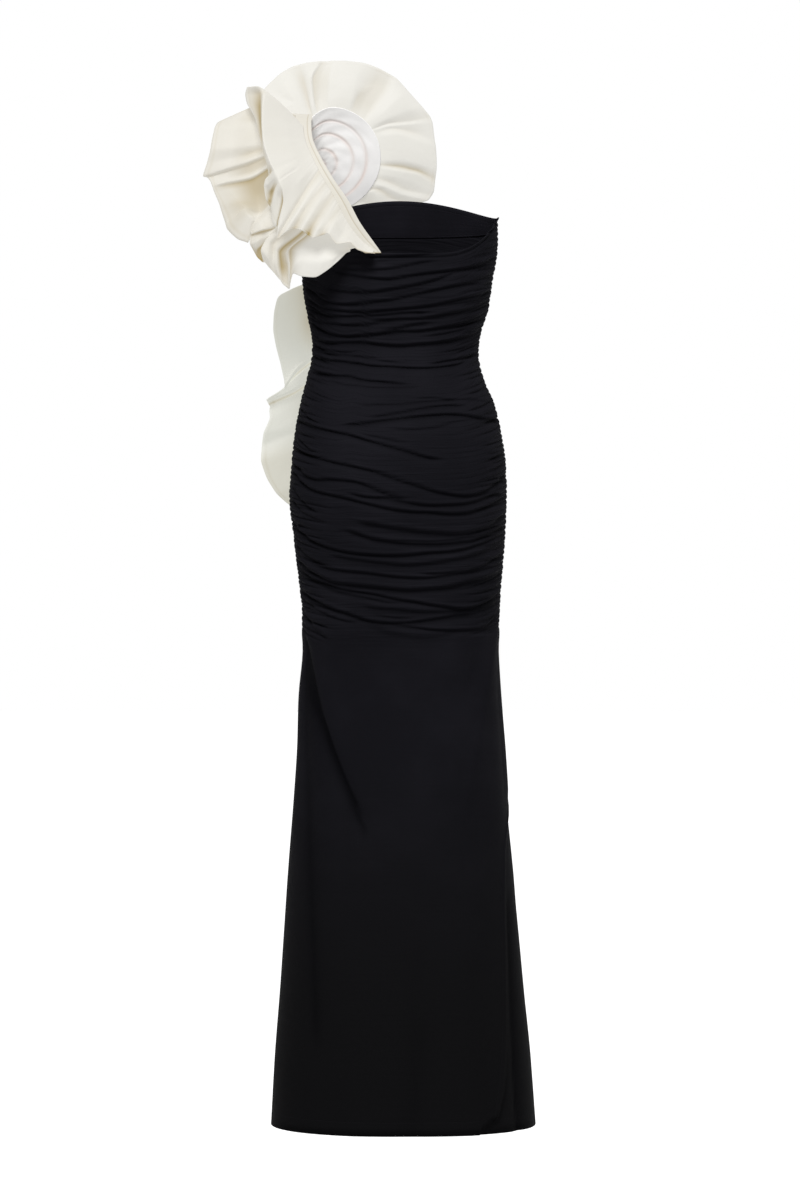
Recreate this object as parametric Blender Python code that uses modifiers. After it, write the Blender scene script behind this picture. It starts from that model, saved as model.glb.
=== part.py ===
"""A one-shoulder maxi dress, gathered at both side seams, with a rosette and ruffles on one shoulder.

Lengths are in metres and the table rows in millimetres. Z is up, +Y is the wearer's front and +X is
the wearer's right. The origin is at waist height on the middle line of the body.
"""

import math

import bmesh
import bpy
import numpy as np

MM = 0.001
TINY = 1e-6
SEAM_GAP = 0.3 * MM
SECTION_POWER = 2.3
PANEL_COLUMNS = 15
COLUMN_CROWDING = 0.045
COLUMNS_TURN_FROM = 0.6

# Black jersey: the wall in a trough, the height of a gather over it, and the smooth skirt's wall
WALL = 1.0 * MM
GATHER_RELIEF = 2.2 * MM
SKIRT_WALL = 1.6 * MM
KEEP_EVERY = 5

# Levels of the sheath
BACK_TOP_MIDDLE = 140
FRONT_TOP_MIDDLE = 235
SIDE_TOP = 201
HEM = -1130
SLIT_TOP = -656
SLIT_STEP = -668
TUCK_FROM = -600
SLIT_TUCK = 4.2 * MM
TUCK_ANGLE = math.radians(25)
HEM_CORNER = 26 * MM
CORNER_FROM = 0.75
CORNER_TOP = -1060

# The inside of the sheath: height, middle, half width, depth to the front, depth to the back
SECTIONS = (
    (240, -1, 140, 100, 84),
    (201, -1, 142, 112, 92),
    (144, -1, 141, 127, 97),
    (103, -4, 137, 124, 97),
    (68, -4, 132, 112, 93),
    (32, -6, 123, 97, 85),
    (0, -7, 120, 89, 81),
    (-38, -7, 128, 93, 91),
    (-73, -4, 140, 98, 104),
    (-109, -3, 148, 102, 116),
    (-162, -2, 155, 105, 126),
    (-215, -3, 157, 105, 128),
    (-267, -1, 153, 105, 122),
    (-320, 0, 148, 104, 114),
    (-373, 1, 143, 104, 108),
    (-409, 1, 142, 104, 107),
    (-444, 1, 143, 105, 108),
    (-494, 0, 147, 107, 111),
    (-582, 2, 152, 113, 119),
    (-656, 2, 157, 119, 127),
    (-758, 3, 166, 128, 137),
    (-847, 4, 173, 135, 145),
    (-935, 5, 180, 140, 151),
    (-1023, 6, 188, 145, 156),
    (-1130, 7, 195, 150, 161),
)

# Troughs of the back's gathers: height at the left seam, the middle and the right seam, then how deep
# each of those three places is, from 0 to 1
BACK_TROUGHS = (
    (184, 136, 184, 0.2, 0.1, 0.7),
    (168, 132, 168, 0.2, 0.1, 0.7),
    (140, 127, 146, 0.4, 0.5, 0.3),
    (129, 116, 140, 0.5, 0.5, 0.1),
    (123, 103, 134, 0.7, 0.7, 0.7),
    (100, 88, 123, 0.7, 0.6, 0.1),
    (87, 73, 107, 0.7, 0.7, 0.7),
    (79, 56, 91, 0.7, 0.7, 0.7),
    (74, 49, 79, 0.3, 0.6, 0.7),
    (68, 43, 71, 0.1, 0.5, 0.6),
    (62, 36, 62, 0.3, 0.4, 0.4),
    (56, 30, 53, 0.2, 0.9, 0.3),
    (47, 20, 46, 0.7, 0.7, 0.7),
    (24, 7, 32, 1.0, 1.0, 1.0),
    (6, -12, 13, 0.8, 0.7, 0.2),
    (-6, -27, -3, 1.0, 1.0, 1.0),
    (-21, -40, -18, 0.8, 0.3, 0.1),
    (-32, -54, -46, 0.8, 0.7, 0.3),
    (-47, -74, -63, 0.2, 0.6, 0.7),
    (-59, -90, -79, 0.1, 0.7, 0.8),
    (-71, -103, -98, 0.3, 1.0, 1.0),
    (-84, -131, -134, 1.0, 0.9, 0.1),
    (-115, -152, -165, 0.8, 0.3, 0.1),
    (-141, -188, -196, 1.0, 1.0, 1.0),
    (-153, -210, -204, 0.4, 0.9, 0.1),
    (-163, -220, -213, 0.2, 0.6, 0.7),
    (-173, -230, -223, 0.8, 0.8, 0.8),
    (-206, -261, -243, 0.2, 0.7, 0.7),
    (-226, -278, -254, 0.5, 1.0, 1.0),
    (-244, -297, -269, 1.0, 1.0, 1.0),
    (-273, -308, -285, 0.7, 0.7, 0.7),
    (-290, -320, -300, 0.7, 0.7, 0.7),
    (-303, -330, -313, 0.9, 0.9, 0.9),
    (-313, -344, -328, 0.9, 0.9, 0.9),
    (-323, -357, -344, 0.8, 0.8, 0.8),
    (-332, -369, -360, 0.8, 0.8, 0.8),
    (-344, -391, -375, 1.0, 1.0, 1.0),
    (-357, -404, -388, 1.0, 1.0, 1.0),
)
GATHERS_END = -418

# The front's gathers are even ones: how many, the last one's heights at the sides and the middle, how
# far each strays from its even place, and the least and most depth
FRONT_TROUGHS = 30
FRONT_LAST_SIDE = -360
FRONT_LAST_MIDDLE = -398
FRONT_STRAY = 3.5
FRONT_DEPTHS = (0.35, 1.0)

# A gather's arc across the panel: power of its rise to the sides at the back's top edge, the power of
# a plain one, and how many rows the change takes
BACK_TOP_ARC = 5
PLAIN_ARC = 2
ARC_ROWS = 12

# Smooth rows of the skirt below the gathers
SKIRT_LEVELS = (
    *(-440, -470, -505, -550, TUCK_FROM, -630, SLIT_TOP, SLIT_STEP, -680, -692, -710),
    *(-760, -830, -900, -970, -1040, -1085, -1112, HEM),
)

# How far the back's free edge stands from the side below the slit's top: height, angle round the section
SLIT_EDGE = (
    (SLIT_STEP, 0),
    (-680, 8),
    (-692, 15),
    (-710, 21),
    (-760, 27),
    (-900, 34),
    (-1002, 39),
    (-1085, 45),
    (HEM, 48),
)
SLIT_OVERLAP = math.radians(12)

# Soft folds of the skirt: side, x and height of the upper end, x and height of the lower end,
# half width, depth inwards
SKIRT_FOLDS = (
    ("back", -140, -430, -50, -690, 22, 4),
    ("back", -135, -690, -124, -1010, 22, 3),
    ("back", 141, -400, 92, -650, 20, -3),
    ("back", 30, -860, 15, -1130, 34, 4),
    ("back", -60, -900, -70, -1130, 30, -3),
    ("back", 95, -820, 100, -1130, 26, -3),
    ("front", 120, -430, 60, -720, 24, 4),
    ("front", -100, -450, -60, -760, 24, -3),
    ("front", -20, -780, -35, -1130, 34, 4),
    ("front", 75, -850, 85, -1130, 30, -4),
    ("front", -120, -820, -130, -1130, 28, 4),
)
# Shares of a fold's length over which it starts, and over which it ends where it stops above the hem
FOLD_STARTS = (-0.12, 0.15)
FOLD_ENDS = (0.85, 1.12)

# The facing inside the front's top edge, and how many of the front's rows it lies against
FACED_ROWS = 8
FACING_BOTTOM = 180
FACING_WALL = 1.0 * MM
FACING_GAP = 0.6 * MM
FACING_BELOW_EDGE = 1.5 * MM
FACING_ROWS = 4

# Ivory taffeta
RUFFLE_WALL = 1.5 * MM
STRAP_WALL = 1.5 * MM
LINING_WALL = 1.0 * MM
BASE_WALL = 1.2 * MM
IVORY_GAP = 0.4 * MM

# The strap's stations from the back top edge over the shoulder to the dish:
# neck edge x, y, z, arm edge x, y, z
STRAP = (
    (-27, -103, 134, -101, -82, 130),
    (-30, -103, 141, -104, -82, 140),
    (-40, -102, 159, -113, -84, 160),
    (-58, -99, 185, -127, -84, 187),
    (-75, -94, 217, -141, -82, 218),
    (-97, -84, 250, -152, -74, 251),
    (-115, -66, 282, -163, -60, 283),
    (-127, -44, 310, -172, -42, 311),
    (-130, -18, 336, -177, -18, 337),
    (-128, 8, 351, -178, 8, 352),
    (-126, 45, 357, -172, 45, 359),
    (-125, 80, 355, -166, 78, 351),
)
STRAP_ROWS = 17
STRAP_COLUMNS = 6
# Below this height the strap follows the back panel, at this distance from its gathers
STRAP_LAPS_BELOW = 172 * MM
STRAP_OVER_PANEL = 1.35 * MM
STRAP_END_GAP = 0.85 * MM
# Loops of faces between a strap ruffle's or the cascade's seam and its free edge
FRILL_LOOPS = 5

# The rosette's dish: its middle, its rim as a lean and an oval on a mean radius, its tilt and depth
ROSETTE_X = -121 * MM
ROSETTE_Y = 99 * MM
ROSETTE_Z = 291 * MM
RIM_RADIUS = 83 * MM
RIM_LEAN = 7 * MM
RIM_OVAL = 5 * MM
RIM_TURN = math.radians(30)
DISH_TILT = 0.12
DISH_DEPTH = 20 * MM
DISH_RINGS = (0.09, 0.27, 0.54, 0.77, 0.93, 1.0)
DISH_COLUMNS = 36
# Below these heights the dish and the collar stand clear of the front panel by these distances
DISH_CLEARS_BELOW = 241 * MM
DISH_CLEARANCE = 0.7 * MM
COLLAR_CLEARS_BELOW = 245 * MM
COLLAR_CLEARANCE = 4.5 * MM
COLLAR_SEAM = 0.93

# Folds of the collar ruffle that stand above the neck and shoulder: angle at the seam, angle and
# radius at the free edge, and how far the edge is carried forward
COLLAR_FOLDS = (
    (128, 131, 132, 0),
    (119, 125, 139, -5),
    (110, 113, 147, 6),
    (104, 106, 151, -6),
    (99, 101, 153, 9),
    (95, 94, 154, -6),
    (91, 89, 155, 7),
    (86, 84, 156, -7),
    (76, 74, 162, -3),
    (66, 66, 166, -6),
    (57, 58, 170, 10),
    (50, 50, 173, 6),
    (42, 41, 174, -8),
    (34, 33, 175, -3),
    (28, 26, 181, 7),
    (20, 18, 180, -6),
    (9, 9, 178, -2),
    (3, 0, 175, -7),
    (-2, -5, 175, 8),
    (-9, -11, 176, -6),
    (-16, -17, 172, 5),
    (-23, -23, 168, -5),
)
COLLAR_FLARE = 14 * MM
# Where the collar's loops of points lie between its seam and its free edge
COLLAR_SHARES = (0, 0.15, 0.4, 0.7, 1.0)
# The collar's lower half, in front of the body, goes on in even waves between these two edges
COLLAR_REST_WAVES = 16
COLLAR_REST_FROM = (-33, 164)
COLLAR_REST_TO = (-210, 126)
COLLAR_REST_LIFT = 6

# Ring ruffles, one for each of the dish's first rings: reach, rise forwards, waves, wave depth
ROSETTE_RINGS = (
    (22, 34, 5, 3),
    (34, 32, 8, 5),
    (38, 28, 11, 6),
    (40, 24, 14, 6),
)
RING_CURL = 0.8

# Ridges and valleys of the upper strap ruffle: strap station, free edge x, y, z, belly to the back
PETAL_FOLDS = (
    (7.9, -206, -62, 386, 6),
    (7.5, -215, -80, 374, 10),
    (7.1, -208, -102, 348, 14),
    (6.75, -199, -128, 294, 18),
    (6.35, -179, -140, 250, 18),
    (6.0, -167, -126, 221, 8),
    (5.6, -176, -150, 154, 14),
    (5.0, -152, -128, 172, 6),
    (4.6, -139, -142, 165, 12),
    (4.15, -126, -148, 158, 14),
    (3.65, -104, -126, 168, 6),
    (3.2, -93, -142, 149, 12),
    (2.6, -72, -122, 154, 6),
    (2.0, -49, -128, 139, 8),
    (0.9, -27, -113, 139, 2),
)
PETAL_SEAM = 0.08

# Ridges and valleys of the lower strap ruffle, with its lobes over the arm, in the same columns
LOBE_FOLDS = (
    (8.8, -212, -20, 368, 8),
    (8.3, -236, -34, 351, 6),
    (7.8, -266, -42, 335, 12),
    (7.3, -276, -58, 312, 16),
    (6.9, -278, -60, 277, 20),
    (6.5, -287, -48, 256, 22),
    (6.1, -277, -62, 248, 18),
    (5.7, -267, -76, 223, 14),
    (5.2, -253, -66, 192, 8),
    (4.8, -251, -82, 172, 12),
    (4.4, -240, -70, 160, 8),
    (4.0, -222, -86, 153, 10),
    (3.6, -209, -72, 139, 6),
    (3.2, -190, -88, 120, 10),
    (2.8, -161, -92, 88, 8),
    (2.5, -156, -108, 100, 6),
    (2.2, -151, -98, 113, 6),
    (1.9, -141, -122, 103, 12),
    (1.6, -121, -128, 102, 14),
    (1.3, -104, -126, 113, 12),
    (1.0, -88, -118, 127, 8),
    (0.7, -73, -108, 142, 4),
)
LOBE_SEAM = 0.5

# Ridges and valleys of the cascade down the front: seam x and z, free edge x, y, z, belly to the front
CASCADE_FOLDS = (
    (-100, 135, -128, 92, 128, 4),
    (-102, 118, -151, 66, 108, 8),
    (-103, 98, -184, 58, 88, 10),
    (-103, 76, -189, 48, 54, 8),
    (-102, 54, -187, 64, 27, 12),
    (-101, 32, -181, 78, 3, 14),
    (-100, 10, -171, 58, -44, 8),
    (-99, -12, -178, 80, -60, 12),
    (-98, -34, -192, 70, -72, 12),
    (-98, -56, -199, 48, -70, 8),
    (-98, -78, -193, 62, -92, 12),
    (-98, -100, -204, 50, -116, 8),
    (-98, -122, -208, 66, -140, 12),
    (-98, -142, -205, 52, -160, 8),
    (-97, -160, -197, 70, -183, 12),
    (-96, -176, -183, 58, -206, 8),
    (-95, -190, -166, 66, -221, 10),
    (-93, -202, -140, 88, -230, 10),
    (-90, -212, -112, 108, -226, 6),
)
CASCADE_CLEARANCE = 0.5 * MM


def material(name, colour, roughness):
    made = bpy.data.materials.new(name)
    made.use_nodes = True
    shader = made.node_tree.nodes["Principled BSDF"]
    shader.inputs["Base Color"].default_value = (*colour, 1.0)
    shader.inputs["Roughness"].default_value = roughness
    shader.inputs["Metallic"].default_value = 0.0
    return made


def smooth_rows(rows, at):
    """Rows of a table, each with its place first, read as smooth curves at the places asked for."""
    rows = np.array(sorted(tuple(float(v) for v in row) for row in rows))
    place, values = rows[:, 0], rows[:, 1:]
    slopes = np.gradient(values, place, axis=0)
    at = np.clip(np.asarray(at, float), place[0], place[-1])
    i = np.clip(np.searchsorted(place, at) - 1, 0, len(place) - 2)
    step = place[i + 1] - place[i]
    t = ((at - place[i]) / step)[..., None]
    step = step[..., None]
    return (
        (2 * t**3 - 3 * t**2 + 1) * values[i]
        + (t**3 - 2 * t**2 + t) * step * slopes[i]
        + (3 * t**2 - 2 * t**3) * values[i + 1]
        + (t**3 - t**2) * step * slopes[i + 1]
    )


def fade(low, high, value):
    """0 below low, 1 above high and a smooth step between."""
    t = np.clip((value - low) / (high - low), 0, 1)
    return t * t * (3 - 2 * t)


def across(angle):
    """How far across the body a place round the section lies, from -1 to 1."""
    return np.sign(np.cos(angle)) * np.abs(np.cos(angle)) ** (2 / SECTION_POWER)


def skirt_fold_depth(x, z, front):
    """How far the skirt's soft folds push the cloth inwards at x and z, both in metres."""
    depth = np.zeros_like(x)
    for side, x0, z0, x1, z1, half, deep in SKIRT_FOLDS:
        t = (z0 * MM - z) / ((z0 - z1) * MM)
        window = fade(*FOLD_STARTS, t)
        if z1 > HEM:
            window = window * (1 - fade(*FOLD_ENDS, t))
        middle = (x0 + (x1 - x0) * np.clip(t, 0, 1)) * MM
        place = np.exp(-(((x - middle) / (half * MM)) ** 2))
        depth += np.where(front == (side == "front"), deep * MM * window * place, 0)
    return depth


def sheath_point(angle, z, outwards):
    """A point of the sheath: angle round the section from +X over the front, and a distance outwards."""
    angle, z, outwards = np.broadcast_arrays(
        np.asarray(angle, float), np.asarray(z, float), np.asarray(outwards, float)
    )
    middle, half, front_depth, back_depth = np.moveaxis(smooth_rows(SECTIONS, z / MM) * MM, -1, 0)
    front = np.sin(angle) >= 0
    depth = np.where(front, front_depth, back_depth)
    u = across(angle)
    v = np.sign(np.sin(angle)) * np.abs(np.sin(angle)) ** (2 / SECTION_POWER)
    power = SECTION_POWER - 1
    normal_x = np.sign(u) * np.abs(u) ** power / half
    normal_y = np.sign(v) * np.abs(v) ** power / depth
    length = np.hypot(normal_x, normal_y)
    out = outwards - skirt_fold_depth(middle + half * u, z, front)
    return np.stack(
        (
            middle + half * u + out * normal_x / length,
            depth * v + out * normal_y / length,
            z,
        ),
        axis=-1,
    )


def beside_sheath(x, z, front, clearance):
    """The depth y of a point that clears the sheath's gathers by this much, at x and z."""
    middle, half, front_depth, back_depth = np.moveaxis(smooth_rows(SECTIONS, z / MM) * MM, -1, 0)
    grown = WALL + GATHER_RELIEF + SEAM_GAP / 2 + clearance
    u = np.clip(np.abs(x - middle) / (half + grown), 0, 0.999)
    v = (1 - u**SECTION_POWER) ** (1 / SECTION_POWER)
    return (front_depth + grown) * v if front else -(back_depth + grown) * v


def gather_rows(troughs, top, lowest):
    """Crest and trough lines down a panel: three heights and three distances outwards for each."""
    lines = [(*top, 0, 0, 0), *troughs, (*lowest, 0, 0, 0)]
    rows = [(top, (0, 0, 0))]
    for upper, lower in zip(lines[1:-1], lines[2:]):
        rows.append((upper[:3], upper[3:]))
        rows.append((tuple((a + b) / 2 for a, b in zip(upper[:3], lower[:3])), (0, 0, 0)))
    return rows


def panel_lines(rows, angles, top_arc):
    """Heights and distances outwards of the gathered rows at each column."""
    u = across(angles)
    heights, outwards = [], []
    for i, (levels, troughs) in enumerate(rows):
        arc = top_arc + (PLAIN_ARC - top_arc) * min(1.0, i / ARC_ROWS)
        side = np.abs(u) ** arc
        left, middle, right = levels
        heights.append(middle + np.where(u < 0, left - middle, right - middle) * side)
        depth = troughs[1] + np.where(u < 0, troughs[0] - troughs[1], troughs[2] - troughs[1]) * u**2
        outwards.append(WALL + GATHER_RELIEF * (1 - depth))
    return np.array(heights) * MM, np.array(outwards)


def mesh_object(name, bm, cloth):
    mesh = bpy.data.meshes.new(name)
    bm.to_mesh(mesh)
    bm.free()
    mesh.materials.append(cloth)
    mesh.shade_smooth()
    made = bpy.data.objects.new(name, mesh)
    dress.objects.link(made)
    return made


def closed_wall(name, outer, inner, kept, cloth):
    """A cloth wall: every row on its outer face, and only the kept rows on its plain inner face."""
    rows, columns = outer.shape[:2]
    bm = bmesh.new()
    out = [[bm.verts.new(p) for p in row] for row in outer]
    inn = {i: [bm.verts.new(p) for p in inner[i]] for i in kept}
    for i in range(rows - 1):
        for j in range(columns - 1):
            bm.faces.new((out[i][j], out[i][j + 1], out[i + 1][j + 1], out[i + 1][j]))
    for a, b in zip(kept, kept[1:]):
        for j in range(columns - 1):
            bm.faces.new((inn[a][j], inn[b][j], inn[b][j + 1], inn[a][j + 1]))
        for j in (0, columns - 1):
            rim = [out[i][j] for i in range(a, b + 1)] + [inn[b][j], inn[a][j]]
            bm.faces.new(rim)
    for i in (kept[0], kept[-1]):
        for j in range(columns - 1):
            bm.faces.new((out[i][j], inn[i][j], inn[i][j + 1], out[i][j + 1]))
    bmesh.ops.recalc_face_normals(bm, faces=bm.faces)
    return mesh_object(name, bm, cloth)


def thicken(made, wall):
    """A wall of this thickness about an open surface."""
    solidify = made.modifiers.new("wall", "SOLIDIFY")
    solidify.thickness = wall
    solidify.offset = 0


def sheet(name, points, wall, cloth, round_closed=False):
    """A wall of cloth through a grid of points, whose first and last columns meet where it is closed."""
    rows, columns = points.shape[:2]
    bm = bmesh.new()
    bmesh.ops.create_grid(bm, x_segments=columns - 1, y_segments=rows - 1, size=1)
    for vert in bm.verts:
        j = round((vert.co.x + 1) / 2 * (columns - 1))
        i = round((vert.co.y + 1) / 2 * (rows - 1))
        vert.co = points[i, j]
    if round_closed:
        bmesh.ops.remove_doubles(bm, verts=bm.verts, dist=TINY)
    thicken(mesh_object(name, bm, cloth), wall)


def between_folds(rows, spans):
    """Rows of fold values with the smooth steps between them added."""
    rows = np.array(rows, float)
    numbered = [(i, *row) for i, row in enumerate(rows)]
    return smooth_rows(numbered, np.linspace(0, len(rows) - 1, (len(rows) - 1) * spans + 1))


def frill(seam, edge, bow, loops):
    """Points from a seam to a free edge, along a curve that bows by the given vectors."""
    s = np.linspace(0, 1, loops + 1)[:, None, None]
    control = (seam + edge) / 2 + bow
    return (1 - s) ** 2 * seam + 2 * s * (1 - s) * control + s**2 * edge


def level_rows(levels, columns):
    heights = np.repeat(np.array(levels, float)[:, None] * MM, columns, axis=1)
    return heights, np.full_like(heights, SKIRT_WALL)


def kept_rows(dense, gathered, total):
    """The rows that the inner face keeps: all down to dense, few through the gathers, all below."""
    return sorted({*range(dense), *range(dense, gathered, KEEP_EVERY), *range(gathered, total)})


def edge_angles(z):
    return math.radians(1) * smooth_rows(SLIT_EDGE, z / MM)[..., 0]


def column_shares():
    """Where the columns stand from the left seam to the right one, closer together at the seams."""
    t = np.linspace(0, 1, PANEL_COLUMNS)
    return t - COLUMN_CROWDING * np.sin(2 * math.pi * t)


def column_angles(start, turn):
    """Angles of a panel's columns on each row, whose last columns turn by the row's own angle."""
    shares = column_shares()
    return start * (1 - shares) + np.outer(turn, fade(COLUMNS_TURN_FROM, 1, shares))


def make_back_panel():
    flat = -math.pi * (1 - column_shares())
    rows = gather_rows(BACK_TROUGHS, (SIDE_TOP, BACK_TOP_MIDDLE, SIDE_TOP), (GATHERS_END,) * 3)
    heights, outwards = panel_lines(rows, flat, BACK_TOP_ARC)
    skirt, skirt_out = level_rows(SKIRT_LEVELS, PANEL_COLUMNS)
    z = np.vstack((heights, skirt))
    out = np.vstack((outwards, skirt_out))
    edge = np.where(z[:, -1] < SLIT_STEP * MM, edge_angles(z[:, -1]), 0)
    angle = column_angles(-math.pi, -edge)
    corner = np.clip((column_shares() - CORNER_FROM) / (1 - CORNER_FROM), 0, 1) ** 3
    z = z + HEM_CORNER * corner * (1 - fade(HEM * MM, CORNER_TOP * MM, z))
    points = [sheath_point(angle, z, d) for d in (out, 0)]
    for p in points:
        p[..., 1] -= SEAM_GAP / 2
    kept = kept_rows(1, len(rows), len(z))
    closed_wall("back_panel", points[0], points[1], kept, black)


def front_troughs():
    """Even gathers for the front, unlike one another, from the top edge to the last fold."""
    rng = np.random.RandomState(11)
    rows = []
    for k in range(FRONT_TROUGHS):
        t = (k + 0.8) / FRONT_TROUGHS
        side = SIDE_TOP + (FRONT_LAST_SIDE - SIDE_TOP) * t
        middle = FRONT_TOP_MIDDLE + (FRONT_LAST_MIDDLE - FRONT_TOP_MIDDLE) * t
        shift = rng.uniform(-FRONT_STRAY, FRONT_STRAY, 3)
        depth = rng.uniform(*FRONT_DEPTHS, 3)
        rows.append((side + shift[0], middle + shift[1], side + shift[2], *depth))
    return rows


def make_front_panel():
    flat = math.pi * (1 - column_shares())
    top = (SIDE_TOP, FRONT_TOP_MIDDLE, SIDE_TOP)
    rows = gather_rows(front_troughs(), top, (GATHERS_END,) * 3)
    heights, outwards = panel_lines(rows, flat, PLAIN_ARC)
    skirt, skirt_out = level_rows(SKIRT_LEVELS, PANEL_COLUMNS)
    z = np.vstack((heights, skirt))
    out = np.vstack((outwards, skirt_out))
    below = z[:, -1] < SLIT_STEP * MM - TINY
    overlap = np.where(below, edge_angles(z[:, -1]) + SLIT_OVERLAP, 0)
    angle = column_angles(math.pi, -overlap)
    tucked = fade(TUCK_FROM * MM, SLIT_STEP * MM, z) * (1 - fade(0, TUCK_ANGLE, angle))
    points = [sheath_point(angle, z, d - SLIT_TUCK * tucked) for d in (out, 0)]
    for p in points:
        p[..., 1] += SEAM_GAP / 2
    kept = kept_rows(FACED_ROWS, len(rows), len(z))
    closed_wall("front_panel", points[0], points[1], kept, black)
    return points[1][kept]


def make_front_facing(inside):
    """The facing lies on the front panel's inner face, so it is made from that face's points."""
    angles = math.pi * (1 - column_shares())
    faces = ([], [])
    for t in np.linspace(0, 1, FACING_ROWS):
        rows = ([], [])
        for j in range(1, PANEL_COLUMNS - 1):
            line = inside[np.argsort(inside[:, j, 2]), j]
            z = (line[-1, 2] - FACING_BELOW_EDGE) * (1 - t) + FACING_BOTTOM * MM * t
            on_panel = np.array([np.interp(z, line[:, 2], line[:, k]) for k in (0, 1)] + [z])
            outwards = sheath_point(angles[j], z, 1) - sheath_point(angles[j], z, 0)
            for row, depth in zip(rows, (FACING_GAP, FACING_GAP + FACING_WALL)):
                row.append(on_panel - outwards * depth)
        for face, row in zip(faces, rows):
            face.append(row)
    closed_wall("front_facing", np.array(faces[0]), np.array(faces[1]), range(FACING_ROWS), black)


def strap_place(station, share):
    """A point of the strap's middle surface, at a station along it and a share across it.

    It lies over the back's top edge at one end, and its other end meets the dish.
    """
    rows = smooth_rows([(i, *row) for i, row in enumerate(STRAP)], station) * MM
    share = np.asarray(share, float)[..., None]
    points = rows[..., :3] * (1 - share) + rows[..., 3:] * share
    low = points[..., 2] < STRAP_LAPS_BELOW
    clear = beside_sheath(points[..., 0], points[..., 2], False, STRAP_OVER_PANEL)
    points[..., 1] = np.where(low, np.minimum(points[..., 1], clear), points[..., 1])
    against_dish = dish_depth(points[..., 0], points[..., 2], -LINING_WALL / 2 - STRAP_END_GAP)
    last = np.asarray(station) > len(STRAP) - 1 - TINY
    points[..., 1] = np.where(last, against_dish, points[..., 1])
    return points


def strap_outwards(station, share):
    """The strap's outward direction, away from the body."""
    along = strap_place(station + 0.05, share) - strap_place(station - 0.05, share)
    over = strap_place(station, share + 0.05) - strap_place(station, share - 0.05)
    normal = np.cross(along, over)
    return normal / np.linalg.norm(normal, axis=-1, keepdims=True)


def make_shoulder_strap():
    stations, shares = np.meshgrid(
        np.linspace(0, len(STRAP) - 1, STRAP_ROWS), np.linspace(0, 1, STRAP_COLUMNS), indexing="ij"
    )
    sheet("shoulder_strap", strap_place(stations, shares), STRAP_WALL, ivory)


def make_strap_ruffle(name, folds, seam_share):
    lift = STRAP_WALL / 2 + RUFFLE_WALL / 2 + IVORY_GAP
    rows = between_folds(folds, 2)
    station, share = rows[:, 0], np.full(len(rows), seam_share)
    normal = strap_outwards(station, share)
    seam = strap_place(station, share) + normal * lift
    bow = np.stack((np.zeros(len(rows)), -rows[:, 4] * MM, np.zeros(len(rows))), axis=-1)
    sheet(name, frill(seam, rows[:, 1:4] * MM, bow, FRILL_LOOPS), RUFFLE_WALL, ivory)


def rim_radius(angle):
    turned = angle - RIM_TURN
    return RIM_RADIUS + RIM_LEAN * np.cos(turned) + RIM_OVAL * np.cos(2 * turned)


def dish_depth(x, z, level):
    """The depth y of the dish's middle surface, carried forward by a level, clear of the front."""
    dx, dz = x - ROSETTE_X, z - ROSETTE_Z
    share = np.hypot(dx, dz) / rim_radius(np.arctan2(dz, dx))
    y = ROSETTE_Y + DISH_TILT * dx + DISH_DEPTH * (1 - np.minimum(share, 1.0) ** 2)
    low = z < DISH_CLEARS_BELOW
    clear = beside_sheath(x, z, True, LINING_WALL / 2 + DISH_CLEARANCE)
    return np.where(low, np.maximum(y, clear), y) + level


def rosette_point(angle, radius, level):
    x = ROSETTE_X + radius * np.cos(angle)
    z = ROSETTE_Z + radius * np.sin(angle)
    return np.stack((x, dish_depth(x, z, level), z), axis=-1)


def make_dish(name, level, wall, cloth):
    """A dish of rings round one middle point, thickened to a wall about it."""
    angles = np.linspace(0, 2 * math.pi, DISH_COLUMNS, endpoint=False)
    bm = bmesh.new()
    rings = [
        [bm.verts.new(p) for p in rosette_point(angles, rim_radius(angles) * share, level)]
        for share in DISH_RINGS
    ]
    middle = bm.verts.new(rosette_point(np.zeros(1), np.zeros(1), level)[0])
    for j in range(DISH_COLUMNS):
        k = (j + 1) % DISH_COLUMNS
        bm.faces.new((middle, rings[0][j], rings[0][k]))
        for inside, outside in zip(rings, rings[1:]):
            bm.faces.new((inside[j], outside[j], outside[k], inside[k]))
    thicken(mesh_object(name, bm, cloth), wall)


def base_level():
    return LINING_WALL / 2 + IVORY_GAP + BASE_WALL / 2


def ruffle_level():
    return base_level() + BASE_WALL / 2 + IVORY_GAP + RUFFLE_WALL / 2


def collar_rows():
    """The collar's folds all round: those of the table, then even waves down its lower half."""
    rows = list(COLLAR_FOLDS)
    for k in range(COLLAR_REST_WAVES):
        t = k / (COLLAR_REST_WAVES - 1)
        angle, radius = (a + (b - a) * t for a, b in zip(COLLAR_REST_FROM, COLLAR_REST_TO))
        rows.append((angle, angle, radius, COLLAR_REST_LIFT * (1 if k % 2 == 0 else -1)))
    rows.append((COLLAR_FOLDS[0][0] - 360, COLLAR_FOLDS[0][1] - 360, *COLLAR_FOLDS[0][2:]))
    return rows


def make_collar_ruffle():
    rows = between_folds(collar_rows(), 2)
    seam_angle, edge_angle = np.radians(rows[:, 0]), np.radians(rows[:, 1])
    lift = rows[:, 3] * MM
    seam_radius = rim_radius(seam_angle) * COLLAR_SEAM
    points = []
    for s in COLLAR_SHARES:
        angle = seam_angle + (edge_angle - seam_angle) * s
        radius = seam_radius + (rows[:, 2] * MM - seam_radius) * s
        p = rosette_point(angle, radius, ruffle_level())
        p[:, 1] += COLLAR_FLARE * s**2 + lift * fade(0.1, 1.0, np.full(len(lift), s))
        low = p[:, 2] < COLLAR_CLEARS_BELOW
        clear = beside_sheath(p[:, 0], p[:, 2], True, COLLAR_CLEARANCE)
        p[:, 1] = np.where(low, np.maximum(p[:, 1], clear), p[:, 1])
        points.append(p)
    sheet("collar_ruffle", np.array(points), RUFFLE_WALL, ivory, round_closed=True)


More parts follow.
